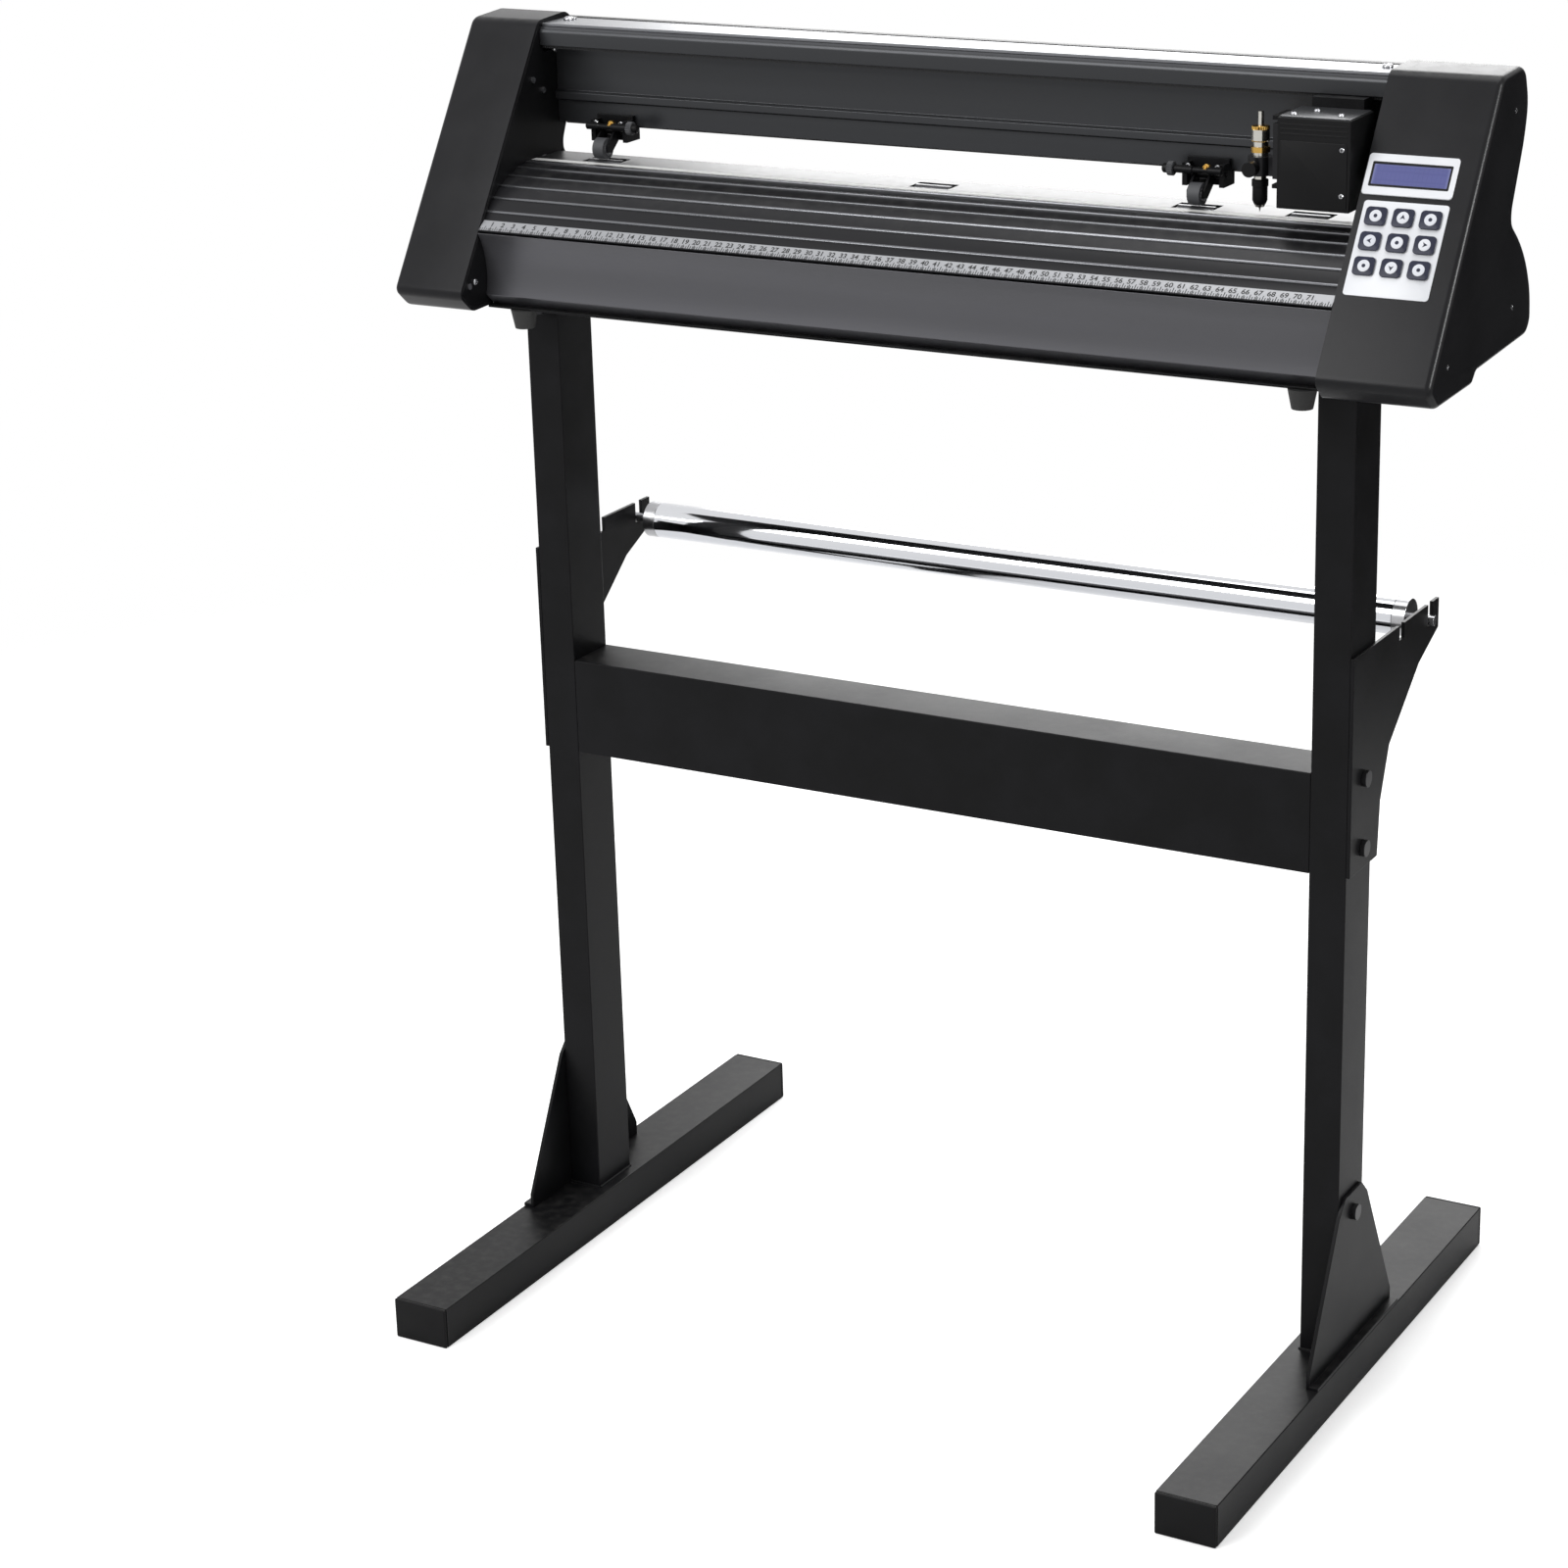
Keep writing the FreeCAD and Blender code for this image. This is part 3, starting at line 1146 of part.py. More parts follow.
def main_board():
    """The control board on four pillars, with its driver chips and connectors."""
    floor = BASE + S.base_gauge
    board_low = floor + 8
    board = block((as_size(-120), as_size(40)), (as_size(-28), as_size(62)), (board_low, board_low + 1.6))
    parts = [board]
    for x in (-114, 34):
        for y in (-22, 56):
            parts.append(rod("Z", (as_size(x), as_size(y), floor), 3, board_low - floor))
    for count in range(4):
        low_x = as_size(-105 + count * 36)
        parts.append(block((low_x, low_x + 14), (as_size(-5), as_size(9)), (board_low + 1.6, board_low + 4)))
        parts.append(block((low_x, low_x + 22), (as_size(48), as_size(55)), (board_low + 1.6, board_low + 11)))
    return fuse(*parts)


def build_electrics():
    """Board, supply, sockets and switch."""
    finish(main_board(), "main_board")
    floor = BASE + S.base_gauge
    finish(block((as_size(-300), as_size(-150)), (as_size(-30), as_size(56)), (floor, floor + 38)), "power_supply")
    finish(group(*socket_boxes(as_size(0), as_size(18)), switch_frame()), "side_sockets")
    finish(rocker(), "power_rocker")


def check_and_write():
    """Recompute, refuse a failed or empty piece, and write one file per finished piece."""
    document.recompute()
    for item in document.Objects:
        if "Invalid" in item.State or "Error" in item.State:
            raise RuntimeError("failed: %s (%s) %s" % (item.Name, item.Label, item.State))
    os.makedirs("parts", exist_ok=True)
    for piece in finished:
        if piece.Shape.isNull() or not piece.Shape.isValid():
            raise RuntimeError("bad shape: %s" % piece.Label)
        piece.Shape.exportStep("parts/%s.step" % piece.Label)
        print("%-24s solids %d  volume %.0f" % (piece.Label, len(piece.Shape.Solids), piece.Shape.Volume))


def main():
    """Build every piece of the cutter and write the files."""
    build_stand()
    build_housing()
    build_drives()
    build_pinch_rollers()
    build_carriage()
    build_panel()
    build_electrics()
    check_and_write()


main()
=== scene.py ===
"""A vinyl cutting plotter on its floor stand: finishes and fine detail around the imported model."""

import logging
import math
from dataclasses import dataclass
from enum import Enum
from typing import Optional, Sequence, Union

import bmesh
import bpy
from mathutils import Euler, Matrix, Vector


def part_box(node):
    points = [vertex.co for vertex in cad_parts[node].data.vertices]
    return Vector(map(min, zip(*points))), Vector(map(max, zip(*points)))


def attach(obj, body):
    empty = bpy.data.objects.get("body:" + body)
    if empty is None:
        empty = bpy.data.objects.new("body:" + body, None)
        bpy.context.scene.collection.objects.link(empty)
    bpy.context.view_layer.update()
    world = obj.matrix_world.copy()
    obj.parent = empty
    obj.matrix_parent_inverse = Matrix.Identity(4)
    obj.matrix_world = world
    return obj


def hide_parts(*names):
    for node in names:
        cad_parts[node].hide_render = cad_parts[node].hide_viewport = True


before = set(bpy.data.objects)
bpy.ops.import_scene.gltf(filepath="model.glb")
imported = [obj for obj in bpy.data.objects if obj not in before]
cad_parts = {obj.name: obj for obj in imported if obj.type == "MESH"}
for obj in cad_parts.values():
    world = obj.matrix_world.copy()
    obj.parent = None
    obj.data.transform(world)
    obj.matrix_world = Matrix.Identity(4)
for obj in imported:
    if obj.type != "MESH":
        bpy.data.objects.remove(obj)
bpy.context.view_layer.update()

LOG = logging.getLogger("plotter")
MM = 0.001
Colour = tuple[float, float, float]
Point = tuple[float, float]
BLACK, WHITE = (0.0, 0.0, 0.0, 1.0), (1.0, 1.0, 1.0, 1.0)


def shade(red: int, green: int, blue: int) -> Colour:
    """A display colour, 0 to 255 in each part, as the linear colour that a shader takes.

    Args:
        red, green, blue: the display values.

    Returns:
        Three linear values from 0 to 1.
    """
    parts = [v / 255 for v in (red, green, blue)]
    return tuple(p / 12.92 if p <= 0.04045 else ((p + 0.055) / 1.055) ** 2.4 for p in parts)


# ---------------------------------------------------------------- shader arithmetic


class Value:
    """One number that varies over a surface, and takes part in Python arithmetic."""

    def __init__(self, graph: "NodeTree", socket: bpy.types.NodeSocket) -> None:
        """Keeps the socket and the graph that it belongs to."""
        self.graph = graph
        self.socket = socket

    def _join(self, operation: str, *terms: "Number") -> "Value":
        """Adds a Math node.

        Args:
            operation: the Math node's operation.
            terms: its inputs, in order.

        Returns:
            The node's result.
        """
        made = self.graph.node("ShaderNodeMath", {"operation": operation}, dict(enumerate(terms)))
        return Value(self.graph, made.outputs[0])

    def __add__(self, other: "Number") -> "Value":
        """self + other."""
        return self._join("ADD", self, other)

    def __sub__(self, other: "Number") -> "Value":
        """self - other."""
        return self._join("SUBTRACT", self, other)

    def __rsub__(self, other: "Number") -> "Value":
        """other - self."""
        return self._join("SUBTRACT", other, self)

    def __mul__(self, other: "Number") -> "Value":
        """self * other."""
        return self._join("MULTIPLY", self, other)

    def __truediv__(self, other: "Number") -> "Value":
        """self / other."""
        return self._join("DIVIDE", self, other)

    def __gt__(self, other: "Number") -> "Value":
        """1 where self is above other, and 0 elsewhere."""
        return self._join("GREATER_THAN", self, other)

    def __lt__(self, other: "Number") -> "Value":
        """1 where self is below other, and 0 elsewhere."""
        return self._join("LESS_THAN", self, other)

    def __abs__(self) -> "Value":
        """The distance from 0."""
        return self._join("ABSOLUTE", self)

    def most(self, other: "Number") -> "Value":
        """The greater of self and other."""
        return self._join("MAXIMUM", self, other)

    def repeat(self, pitch: float) -> "Value":
        """The remainder after whole steps of pitch, from 0 to pitch."""
        return self._join("FLOORED_MODULO", self, pitch)

    def smooth(self, low: float, high: float) -> "Value":
        """A soft step from 0 at low to 1 at high.

        Args:
            low: where the step starts.
            high: where it ends; below low, the step falls.

        Returns:
            The step's height.
        """
        swap = high < low
        made = self.graph.node(
            "ShaderNodeMapRange",
            {"interpolation_type": "SMOOTHSTEP"},
            {"Value": self, "From Min": min(low, high), "From Max": max(low, high)},
        )
        step = Value(self.graph, made.outputs[0])
        return 1 - step if swap else step

    __radd__ = __add__
    __rmul__ = __mul__


Number = Union[Value, float]


class Tint:
    """A colour that varies over a surface."""

    def __init__(self, graph: "NodeTree", socket: bpy.types.NodeSocket) -> None:
        """Keeps the socket and the graph that it belongs to."""
        self.graph = graph
        self.socket = socket

    def toward(self, other: Union["Tint", Colour], share: Number) -> "Tint":
        """This colour mixed with another.

        Args:
            other: the second colour.
            share: how much of the second, 0 to 1.

        Returns:
            The mix.
        """
        return self.graph.mix(self, other, share)


class NodeTree:
    """A tree of shader nodes, for a material or for the world."""

    def __init__(self, holder: Union[bpy.types.Material, bpy.types.World]) -> None:
        """Empties the tree that belongs to the holder."""
        holder.use_nodes = True
        self.tree = holder.node_tree
        self.tree.nodes.clear()

    def node(self, kind: str, settings: dict, inputs: dict) -> bpy.types.Node:
        """Adds one node.

        Args:
            kind: the node's type.
            settings: its properties, set before its sockets.
            inputs: values or links by socket name or number.

        Returns:
            The node.
        """
        made = self.tree.nodes.new(kind)
        for key, setting in settings.items():
            setattr(made, key, setting)
        for key, given in inputs.items():
            socket = made.inputs[key]
            link = given.socket if isinstance(given, (Value, Tint)) else given
            if isinstance(link, bpy.types.NodeSocket):
                self.tree.links.new(link, socket)
            else:
                socket.default_value = given
        return made


class Graph(NodeTree):
    """A material's node tree, with one Principled shader to fill in."""

    def __init__(self, name: str) -> None:
        """Starts an empty material of that name."""
        self.material = bpy.data.materials.new(name)
        super().__init__(self.material)
        self.shader = self.node("ShaderNodeBsdfPrincipled", {}, {})
        self.output = self.node("ShaderNodeOutputMaterial", {}, {"Surface": self.shader.outputs[0]})
        self._place: Optional[bpy.types.Node] = None

    def mix(self, first: Union[Tint, Colour], second: Union[Tint, Colour], share: Number) -> Tint:
        """Mixes two colours.

        Args:
            first: the colour at share 0.
            second: the colour at share 1.
            share: the factor.

        Returns:
            The mixed colour.
        """
        sides = [c if isinstance(c, Tint) else (*c, 1.0) for c in (first, second)]
        made = self.node(
            "ShaderNodeMix", {"data_type": "RGBA"}, {"Factor": share, 6: sides[0], 7: sides[1]}
        )
        return Tint(self, made.outputs[2])

    def place(self, axis: int) -> Value:
        """The surface point's own coordinate in metres, in the frame at rest.

        Args:
            axis: 0, 1 or 2 for X, Y or Z.

        Returns:
            That coordinate.
        """
        if self._place is None:
            where = self.node("ShaderNodeTexCoord", {}, {})
            self._place = self.node("ShaderNodeSeparateXYZ", {}, {0: where.outputs["Object"]})
        return Value(self, self._place.outputs[axis])

    def facing(self, axis: int) -> Value:
        """How far the surface faces along an axis, -1 to 1."""
        geometry = self.node("ShaderNodeNewGeometry", {}, {})
        parts = self.node("ShaderNodeSeparateXYZ", {}, {0: geometry.outputs["Normal"]})
        return Value(self, parts.outputs[axis])

    def noise(self, grain: float, detail: float = 2.0, stretch: Sequence[float] = (1, 1, 1)) -> Value:
        """Soft random variation, about 0.5 on average.

        Args:
            grain: the size of one blotch in metres.
            detail: how many finer layers it has.
            stretch: how many times longer it is along each axis.

        Returns:
            A value from 0 to 1.
        """
        where = self.node("ShaderNodeTexCoord", {}, {})
        scale = [1 / (grain * s) for s in stretch]
        moved = self.node(
            "ShaderNodeMapping", {"vector_type": "POINT"},
            {"Vector": where.outputs["Object"], "Scale": scale},
        )
        made = self.node(
            "ShaderNodeTexNoise", {}, {"Vector": moved.outputs[0], "Scale": 1.0, "Detail": detail}
        )
        return Value(self, made.outputs[0])

    def colour(self, given: Union[Tint, Colour]) -> None:
        """Sets the shader's base colour."""
        self.feed("Base Color", given if isinstance(given, Tint) else (*given, 1.0))

    def feed(self, name: str, given: Union[Value, Tint, float, tuple]) -> None:
        """Sets or links one of the shader's sockets."""
        socket = self.shader.inputs[name]
        if isinstance(given, (Value, Tint)):
            self.tree.links.new(given.socket, socket)
        else:
            socket.default_value = given

    def bump(self, height: Value, depth: float) -> None:
        """Gives the surface relief.

        Args:
            height: the relief, 0 to 1.
            depth: how deep 1 is, in metres.
        """
        made = self.node("ShaderNodeBump", {}, {"Strength": 1.0, "Distance": depth, "Height": height})
        self.tree.links.new(made.outputs[0], self.shader.inputs["Normal"])


# ---------------------------------------------------------------- finishes


@dataclass(frozen=True)
class Finish:
    """A surface of one stuff, with cloudy colour, fine grain, blotchy roughness and settled dust."""

    name: str
    colour: Colour
    cloud: Colour
    roughness: float = 0.4
    spread: float = 0.1
    metallic: float = 0.0
    grain: float = 0.6 * MM
    depth: float = 0.02 * MM
    stretch: tuple[float, float, float] = (1, 1, 1)
    coat: float = 0.0
    dust: float = 0.0
    specular: float = 0.5

    def material(self) -> bpy.types.Material:
        """The finish as a material, made once."""
        found = bpy.data.materials.get(self.name)
        return found or self.paint(Graph(self.name)).material

    def paint(self, graph: Graph) -> Graph:
        """Fills in the shader.

        Args:
            graph: the new material's graph.

        Returns:
            The same graph.
        """
        graph.feed("Metallic", self.metallic)
        graph.feed("Coat Weight", self.coat)
        graph.feed("Specular IOR Level", self.specular)
        broad = graph.noise(45 * MM, 3, self.stretch)
        fine = graph.noise(self.grain, 2, self.stretch)
        colour = graph.mix(self.colour, self.cloud, broad.smooth(0.3, 0.75))
        rough = self.roughness + self.spread * (broad - 0.5) + 0.5 * self.spread * (fine - 0.5)
        if self.dust:
            settled = graph.facing(2).smooth(0.7, 1.0) * graph.noise(9 * MM, 4).smooth(0.35, 0.8)
            colour = colour.toward(DUST, settled * self.dust)
            rough = rough + settled * (0.5 * self.dust)
        graph.colour(self.pattern(graph, colour))
        graph.feed("Roughness", rough)
        graph.bump(self.relief(graph, fine), self.depth)
        return graph

    def pattern(self, graph: Graph, colour: Tint) -> Tint:
        """The colour with any marks that this finish has."""
        return colour

    def relief(self, graph: Graph, fine: Value) -> Value:
        """The surface's fine height, 0 to 1."""
        return fine


@dataclass(frozen=True)
class RuledTape(Finish):
    """A silver tape ruled in tens, fives and ones of millimetres along X."""

    ink: Colour = (0.004, 0.004, 0.005)
    line: float = 0.7 * MM

    def pattern(self, graph: Graph, colour: Tint) -> Tint:
        """The colour with the ruled marks, longest at the tens."""
        along, height = graph.place(0) + 1.0, graph.place(2)
        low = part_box("ruler_tape")[0].z
        marks: Number = 0.0
        for pitch, reach in ((10 * MM, 2.9 * MM), (5 * MM, 2.4 * MM), (2 * MM, 1.8 * MM)):
            marks = (along.repeat(pitch) < self.line) * (height < low + reach) + marks
        return colour.toward(self.ink, marks.smooth(0.0, 1.0))


@dataclass(frozen=True)
class LiquidCrystal(Finish):
    """A lit character display: blue-violet, with painted light that makes it paler towards the rim, and faint
    rows of dots.
    """

    # rim: the colour of the painted light that pales the display towards its rim.
    rim: Colour = (0.28, 0.3, 0.55)

    def pattern(self, graph: Graph, colour: Tint) -> Tint:
        """The colour with painted light paler towards the rim, and the rows of empty characters."""
        low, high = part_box("display_window")
        across = abs(graph.place(0) - (low.x + high.x) / 2) / ((high.x - low.x) / 2)
        upward = abs(graph.place(2) - (low.z + high.z) / 2) / ((high.z - low.z) / 2)
        # edge: where the painted light towards the rim falls, strongest at the window's border.
        edge = across.smooth(0.86, 1.0) + upward.smooth(0.72, 1.0)
        cells = (graph.place(0).repeat(3.4 * MM) > 0.5 * MM) * (graph.place(2).repeat(5.5 * MM) > 1.1 * MM)
        lit = colour.toward(self.rim, edge.smooth(0.0, 1.4) * 0.75)
        return lit.toward((0.09, 0.1, 0.3), cells * 0.16)

    def paint(self, graph: Graph) -> Graph:
        """Adds the backlight to the shader."""
        Finish.paint(self, graph)
        graph.feed("Emission Color", (*self.colour, 1.0))
        graph.feed("Emission Strength", 0.05)
        return graph


@dataclass(frozen=True)
class ToothedBelt(Finish):
    """A toothed drive belt, ribbed across its run."""

    pitch: float = 2.0 * MM

    def relief(self, graph: Graph, fine: Value) -> Value:
        """Teeth at the belt's pitch."""
        return abs(graph.place(0).repeat(self.pitch) - self.pitch / 2) * (1.6 / self.pitch) + fine * 0.2


@dataclass(frozen=True)
class GritRoller(Finish):
    """Feed-shaft steel, with rough grit over its drums."""

    drum: float = 7.6 * MM

    def pattern(self, graph: Graph, colour: Tint) -> Tint:
        """Darker speckle where the drums stand out from the shaft."""
        low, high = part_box("feed_shaft")
        off_y = graph.place(1) - (low.y + high.y) / 2
        off_z = graph.place(2) - (low.z + high.z) / 2
        drums = (off_y * off_y + off_z * off_z) > self.drum**2
        return colour.toward((0.16, 0.16, 0.17), drums * graph.noise(0.5 * MM, 1).smooth(0.35, 0.6))


DUST = shade(150, 148, 144)
POWDER = Finish(
    "black_powder_coat", shade(17, 17, 18), shade(22, 22, 24), 0.36, 0.12,
    grain=1.1 * MM, depth=0.035 * MM, dust=0.05, specular=0.1,
)
CASING = Finish(
    "charcoal_casing_plastic", shade(27, 27, 29), shade(32, 32, 34), 0.3, 0.08,
    grain=0.5 * MM, depth=0.018 * MM, dust=0.12, specular=0.13,
)
DARK_PLASTIC = Finish(
    "black_moulded_plastic", shade(16, 16, 17), shade(22, 22, 23), 0.4, 0.12,
    grain=0.45 * MM, depth=0.02 * MM, dust=0.05, specular=0.12,
)
ANODISED = Finish(
    "black_anodised_aluminium", shade(24, 24, 26), shade(30, 30, 33), 0.32, 0.10, metallic=0.35,
    grain=0.22 * MM, depth=0.006 * MM, stretch=(60, 1, 1), dust=0.05, specular=0.3,
)
APRON = Finish(
    "dark_grey_apron_paint", shade(82, 82, 85), shade(88, 88, 92), 0.3, 0.08, metallic=0.6,
    grain=0.5 * MM, depth=0.01 * MM, stretch=(20, 1, 1), specular=0.35,
)
PLATED = Finish(
    "zinc_plated_steel", shade(178, 178, 180), shade(150, 151, 155), 0.26, 0.14, metallic=1.0,
    grain=0.3 * MM, depth=0.006 * MM,
)
BLACKENED = Finish(
    "blackened_steel_bolts", shade(38, 38, 40), shade(52, 52, 54), 0.3, 0.14, metallic=0.75,
    grain=0.3 * MM, depth=0.006 * MM,
)
CHROME = Finish(
    "polished_chrome", shade(222, 223, 226), shade(205, 207, 212), 0.07, 0.05, metallic=1.0,
    grain=0.5 * MM, depth=0.002 * MM, stretch=(80, 1, 1),
)
NICKEL = Finish(
    "knurled_nickel", shade(196, 194, 188), shade(170, 168, 162), 0.2, 0.1, metallic=1.0,
    grain=0.3 * MM, depth=0.004 * MM,
)
BRASS = Finish(
    "turned_brass", shade(196, 158, 84), shade(170, 132, 66), 0.22, 0.12, metallic=1.0,
    grain=0.3 * MM, depth=0.005 * MM,
)
SILVER = Finish(
    "brushed_silver_trim", shade(126, 127, 130), shade(108, 110, 114), 0.3, 0.1, metallic=0.85,
    grain=0.2 * MM, depth=0.005 * MM, stretch=(90, 1, 1),
)
RULER = RuledTape(
    "silver_ruler_tape", shade(160, 161, 164), shade(144, 146, 150), 0.4, 0.08, metallic=0.3,
    grain=0.2 * MM, depth=0.004 * MM, stretch=(60, 1, 1),
)
CUT_STRIP = Finish(
    "white_cutting_strip", shade(214, 214, 212), shade(196, 196, 195), 0.5, 0.1,
    grain=0.3 * MM, depth=0.02 * MM, stretch=(30, 1, 1),
)
PANEL_WHITE = Finish(
    "white_panel_plastic", shade(226, 228, 232), shade(216, 218, 223), 0.36, 0.08,
    grain=0.35 * MM, depth=0.01 * MM,
)
KEY_NAVY = Finish(
    "navy_key_plastic", shade(24, 27, 46), shade(30, 34, 56), 0.4, 0.1,
    grain=0.3 * MM, depth=0.008 * MM, coat=0.05, specular=0.2,
)
KEY_INK = Finish(
    "white_key_print", shade(225, 227, 232), shade(206, 209, 218), 0.5, 0.06,
    grain=0.3 * MM, depth=0.004 * MM,
)
DISPLAY = LiquidCrystal(
    "blue_violet_display", shade(66, 71, 134), shade(60, 66, 126), 0.16, 0.04,
    grain=0.4 * MM, depth=0.002 * MM, coat=0.4,
)
RUBBER = Finish(
    "black_foot_rubber", shade(24, 24, 24), shade(33, 33, 32), 0.7, 0.12,
    grain=0.5 * MM, depth=0.05 * MM,
)
WHEEL_RUBBER = Finish(
    "grey_wheel_rubber", shade(72, 73, 76), shade(60, 61, 64), 0.62, 0.1,
    grain=0.4 * MM, depth=0.04 * MM,
)
BELT = ToothedBelt(
    "ribbed_belt_rubber", shade(26, 26, 28), shade(34, 34, 36), 0.6, 0.1,
    grain=0.3 * MM, depth=0.35 * MM,
)
SHAFT = GritRoller(
    "grit_coated_shaft", shade(170, 170, 173), shade(150, 151, 154), 0.32, 0.14, metallic=0.9,
    grain=0.35 * MM, depth=0.03 * MM,
)
# Platen ribs: light metal whose brightness is partly painted highlight, standing in for the bright lines
# along the ribs.
PLATEN_RIB_HIGHLIGHT = Finish(
    "platen_rib_painted_highlight", shade(96, 97, 100), shade(128, 129, 133), 0.24, 0.12, metallic=0.85,
    grain=0.25 * MM, depth=0.006 * MM, stretch=(60, 1, 1),
)
RAIL = Finish(
    "satin_black_rail", shade(54, 55, 57), shade(62, 63, 66), 0.34, 0.1, metallic=0.55,
    grain=0.25 * MM, depth=0.005 * MM, stretch=(80, 1, 1), specular=0.3,
)
# Rail bead: a paler copy of the rail's own finish, a painted highlight along the bead's rounded nose.
RAIL_BEAD_HIGHLIGHT = Finish(
    "rail_bead_painted_highlight", shade(84, 85, 88), shade(94, 95, 99), 0.24, 0.1, metallic=0.8,
    grain=0.25 * MM, depth=0.005 * MM, stretch=(80, 1, 1),
)
INK = Finish("black_ruler_print", shade(8, 8, 9), shade(16, 16, 17), 0.5, 0.1)
BOARD = Finish(
    "green_circuit_board", shade(24, 74, 48), shade(20, 62, 40), 0.4, 0.1,
    grain=0.6 * MM, depth=0.02 * MM, coat=0.3,
)

# ---------------------------------------------------------------- mesh making


class Outline(Enum):
    """The shape of a ring in a turned part."""

    ROUND = "round"
    HEX = "hex"
    CROSS = "cross"
    KNURL = "knurl"

    def reach(self, angle: float, radius: float) -> float:
        """How far the outline is from the axis.

        Args:
            angle: the direction, in radians.
            radius: the ring's size.

        Returns:
            The distance in metres.
        """
        if self is Outline.HEX:
            turned = (angle % (math.pi / 3)) - math.pi / 6
            return radius * math.cos(math.pi / 6) / math.cos(turned)
        if self is Outline.CROSS:
            turned = abs((angle + math.pi / 4) % (math.pi / 2) - math.pi / 4)
            half = radius * 0.24
            return radius / math.cos(turned) if math.tan(turned) * radius < half else half / math.sin(turned)
        if self is Outline.KNURL:
            return radius * (1 + 0.045 * (1 if round(angle * 24 / math.pi) % 2 else -1))
        return radius


Ring = Union[tuple[float, float], tuple[float, float, Outline]]


def profile(*rings: Ring) -> tuple[Ring, ...]:
    """A turned part's rings, given in millimetres."""
    return tuple((radius * MM, height * MM, *shape) for radius, height, *shape in rings)


class Solid:
    """Closed shells gathered into one mesh, in metres in the frame."""

    def __init__(self) -> None:
        """Starts empty."""
        self.mesh = bmesh.new()

    def turned(self, rings: Sequence[Ring], origin: Vector, axis: Vector, sides: int = 48) -> "Solid":
        """Adds a turned part.

        Args:
            rings: (radius, height, outline) from one end to the other.
            origin: where height 0 is.
            axis: the direction of height.
            sides: points round each ring.

        Returns:
            This solid.
        """
        turn = Vector(axis).to_track_quat("Z", "Y").to_matrix()
        loops = []
        for ring in rings:
            radius, height = ring[0], ring[1]
            shape = ring[2] if len(ring) > 2 else Outline.ROUND
            loop = []
            for k in range(sides):
                angle = math.tau * k / sides
                far = shape.reach(angle, radius)
                spot = Vector((far * math.cos(angle), far * math.sin(angle), height))
                loop.append(Vector(origin) + turn @ spot)
            loops.append(loop)
        return self.shell(loops)

    def slab(
        self, outline: Sequence[Point], origin: Vector, across: Vector, upward: Vector,
        depth: float, soft: float = 0.0, steps: int = 2,
    ) -> "Solid":
        """Adds a flat part with softened edges.

        Args:
            outline: its corners on the plane, anticlockwise.
            origin: where the outline's (0, 0) is.
            across: the outline's first direction.
            upward: its second direction; the part grows along across x upward.
            depth: its thickness.
            soft: how far its edges are rounded.
            steps: the faces over a rounded edge.

        Returns:
            This solid.
        """
        x, y = Vector(across).normalized(), Vector(upward).normalized()
        out = x.cross(y)
        made = bmesh.new()
        low = [made.verts.new(Vector(origin) + x * u + y * v) for u, v in outline]
        high = [made.verts.new(p.co + out * depth) for p in low]
        count = len(low)
        made.faces.new(list(reversed(low)))
        made.faces.new(high)
        for k in range(count):
            after = (k + 1) % count
            made.faces.new((low[k], low[after], high[after], high[k]))
        if soft:
            made.normal_update()
            edges = [e for e in made.edges if e.calc_face_angle(0) > math.radians(25)]
            bmesh.ops.bevel(
                made, geom=edges, offset=soft, segments=steps, profile=0.5, affect="EDGES",
                clamp_overlap=True,
            )
        keep = bpy.data.meshes.new("part")
        made.to_mesh(keep)
        made.free()
        self.mesh.from_mesh(keep)
        bpy.data.meshes.remove(keep)
        return self

    def rim(
        self, outer: Sequence[Point], inner: Sequence[Point], origin: Vector, across: Vector,
        upward: Vector, depth: float,
    ) -> "Solid":
        """Adds a flat frame with a hole through it.

        Args:
            outer, inner: its two outlines, with as many corners as each other.
            origin: where the outlines' (0, 0) is.
            across: their first direction.
            upward: their second direction.
            depth: the frame's thickness.

        Returns:
            This solid.
        """
        x, y = Vector(across).normalized(), Vector(upward).normalized()
        out, soft = x.cross(y), 0.3 * MM
        edge = [(u - math.copysign(soft, u), v - math.copysign(soft, v)) for u, v in outer]
        lip = [(u + math.copysign(soft, u), v + math.copysign(soft, v)) for u, v in inner]
        loops = [
            [Vector(origin) + x * u + y * v + out * lift for u, v in points]
            for points, lift in ((outer, 0.0), (outer, depth - soft), (edge, depth), (lip, depth),
                                 (inner, depth - soft), (inner, 0.0))
        ]
        return self.shell(loops, ring=True)

    def shell(self, loops: Sequence[Sequence[Vector]], ring: bool = False) -> "Solid":
        """Adds a skin over a run of closed loops, capped at both ends.

        Args:
            loops: the loops, with as many points as each other.
            ring: joins the last loop to the first, in place of the caps.

        Returns:
            This solid.
        """
        rows = [[self.mesh.verts.new(p) for p in loop] for loop in loops]
        count = len(rows[0])
        for low, high in zip(rows, rows[1:] + (rows[:1] if ring else [])):
            for k in range(count):
                after = (k + 1) % count
                self.mesh.faces.new((low[k], low[after], high[after], high[k]))
        if not ring:
            self.mesh.faces.new(list(reversed(rows[0])))
            self.mesh.faces.new(rows[-1])
        return self

    def _as_object(self) -> bpy.types.Object:
        """The shells so far, as a loose object."""
        bmesh.ops.recalc_face_normals(self.mesh, faces=self.mesh.faces)
        data = bpy.data.meshes.new("stock")
        self.mesh.to_mesh(data)
        stock = bpy.data.objects.new("stock", data)
        bpy.context.scene.collection.objects.link(stock)
        return stock

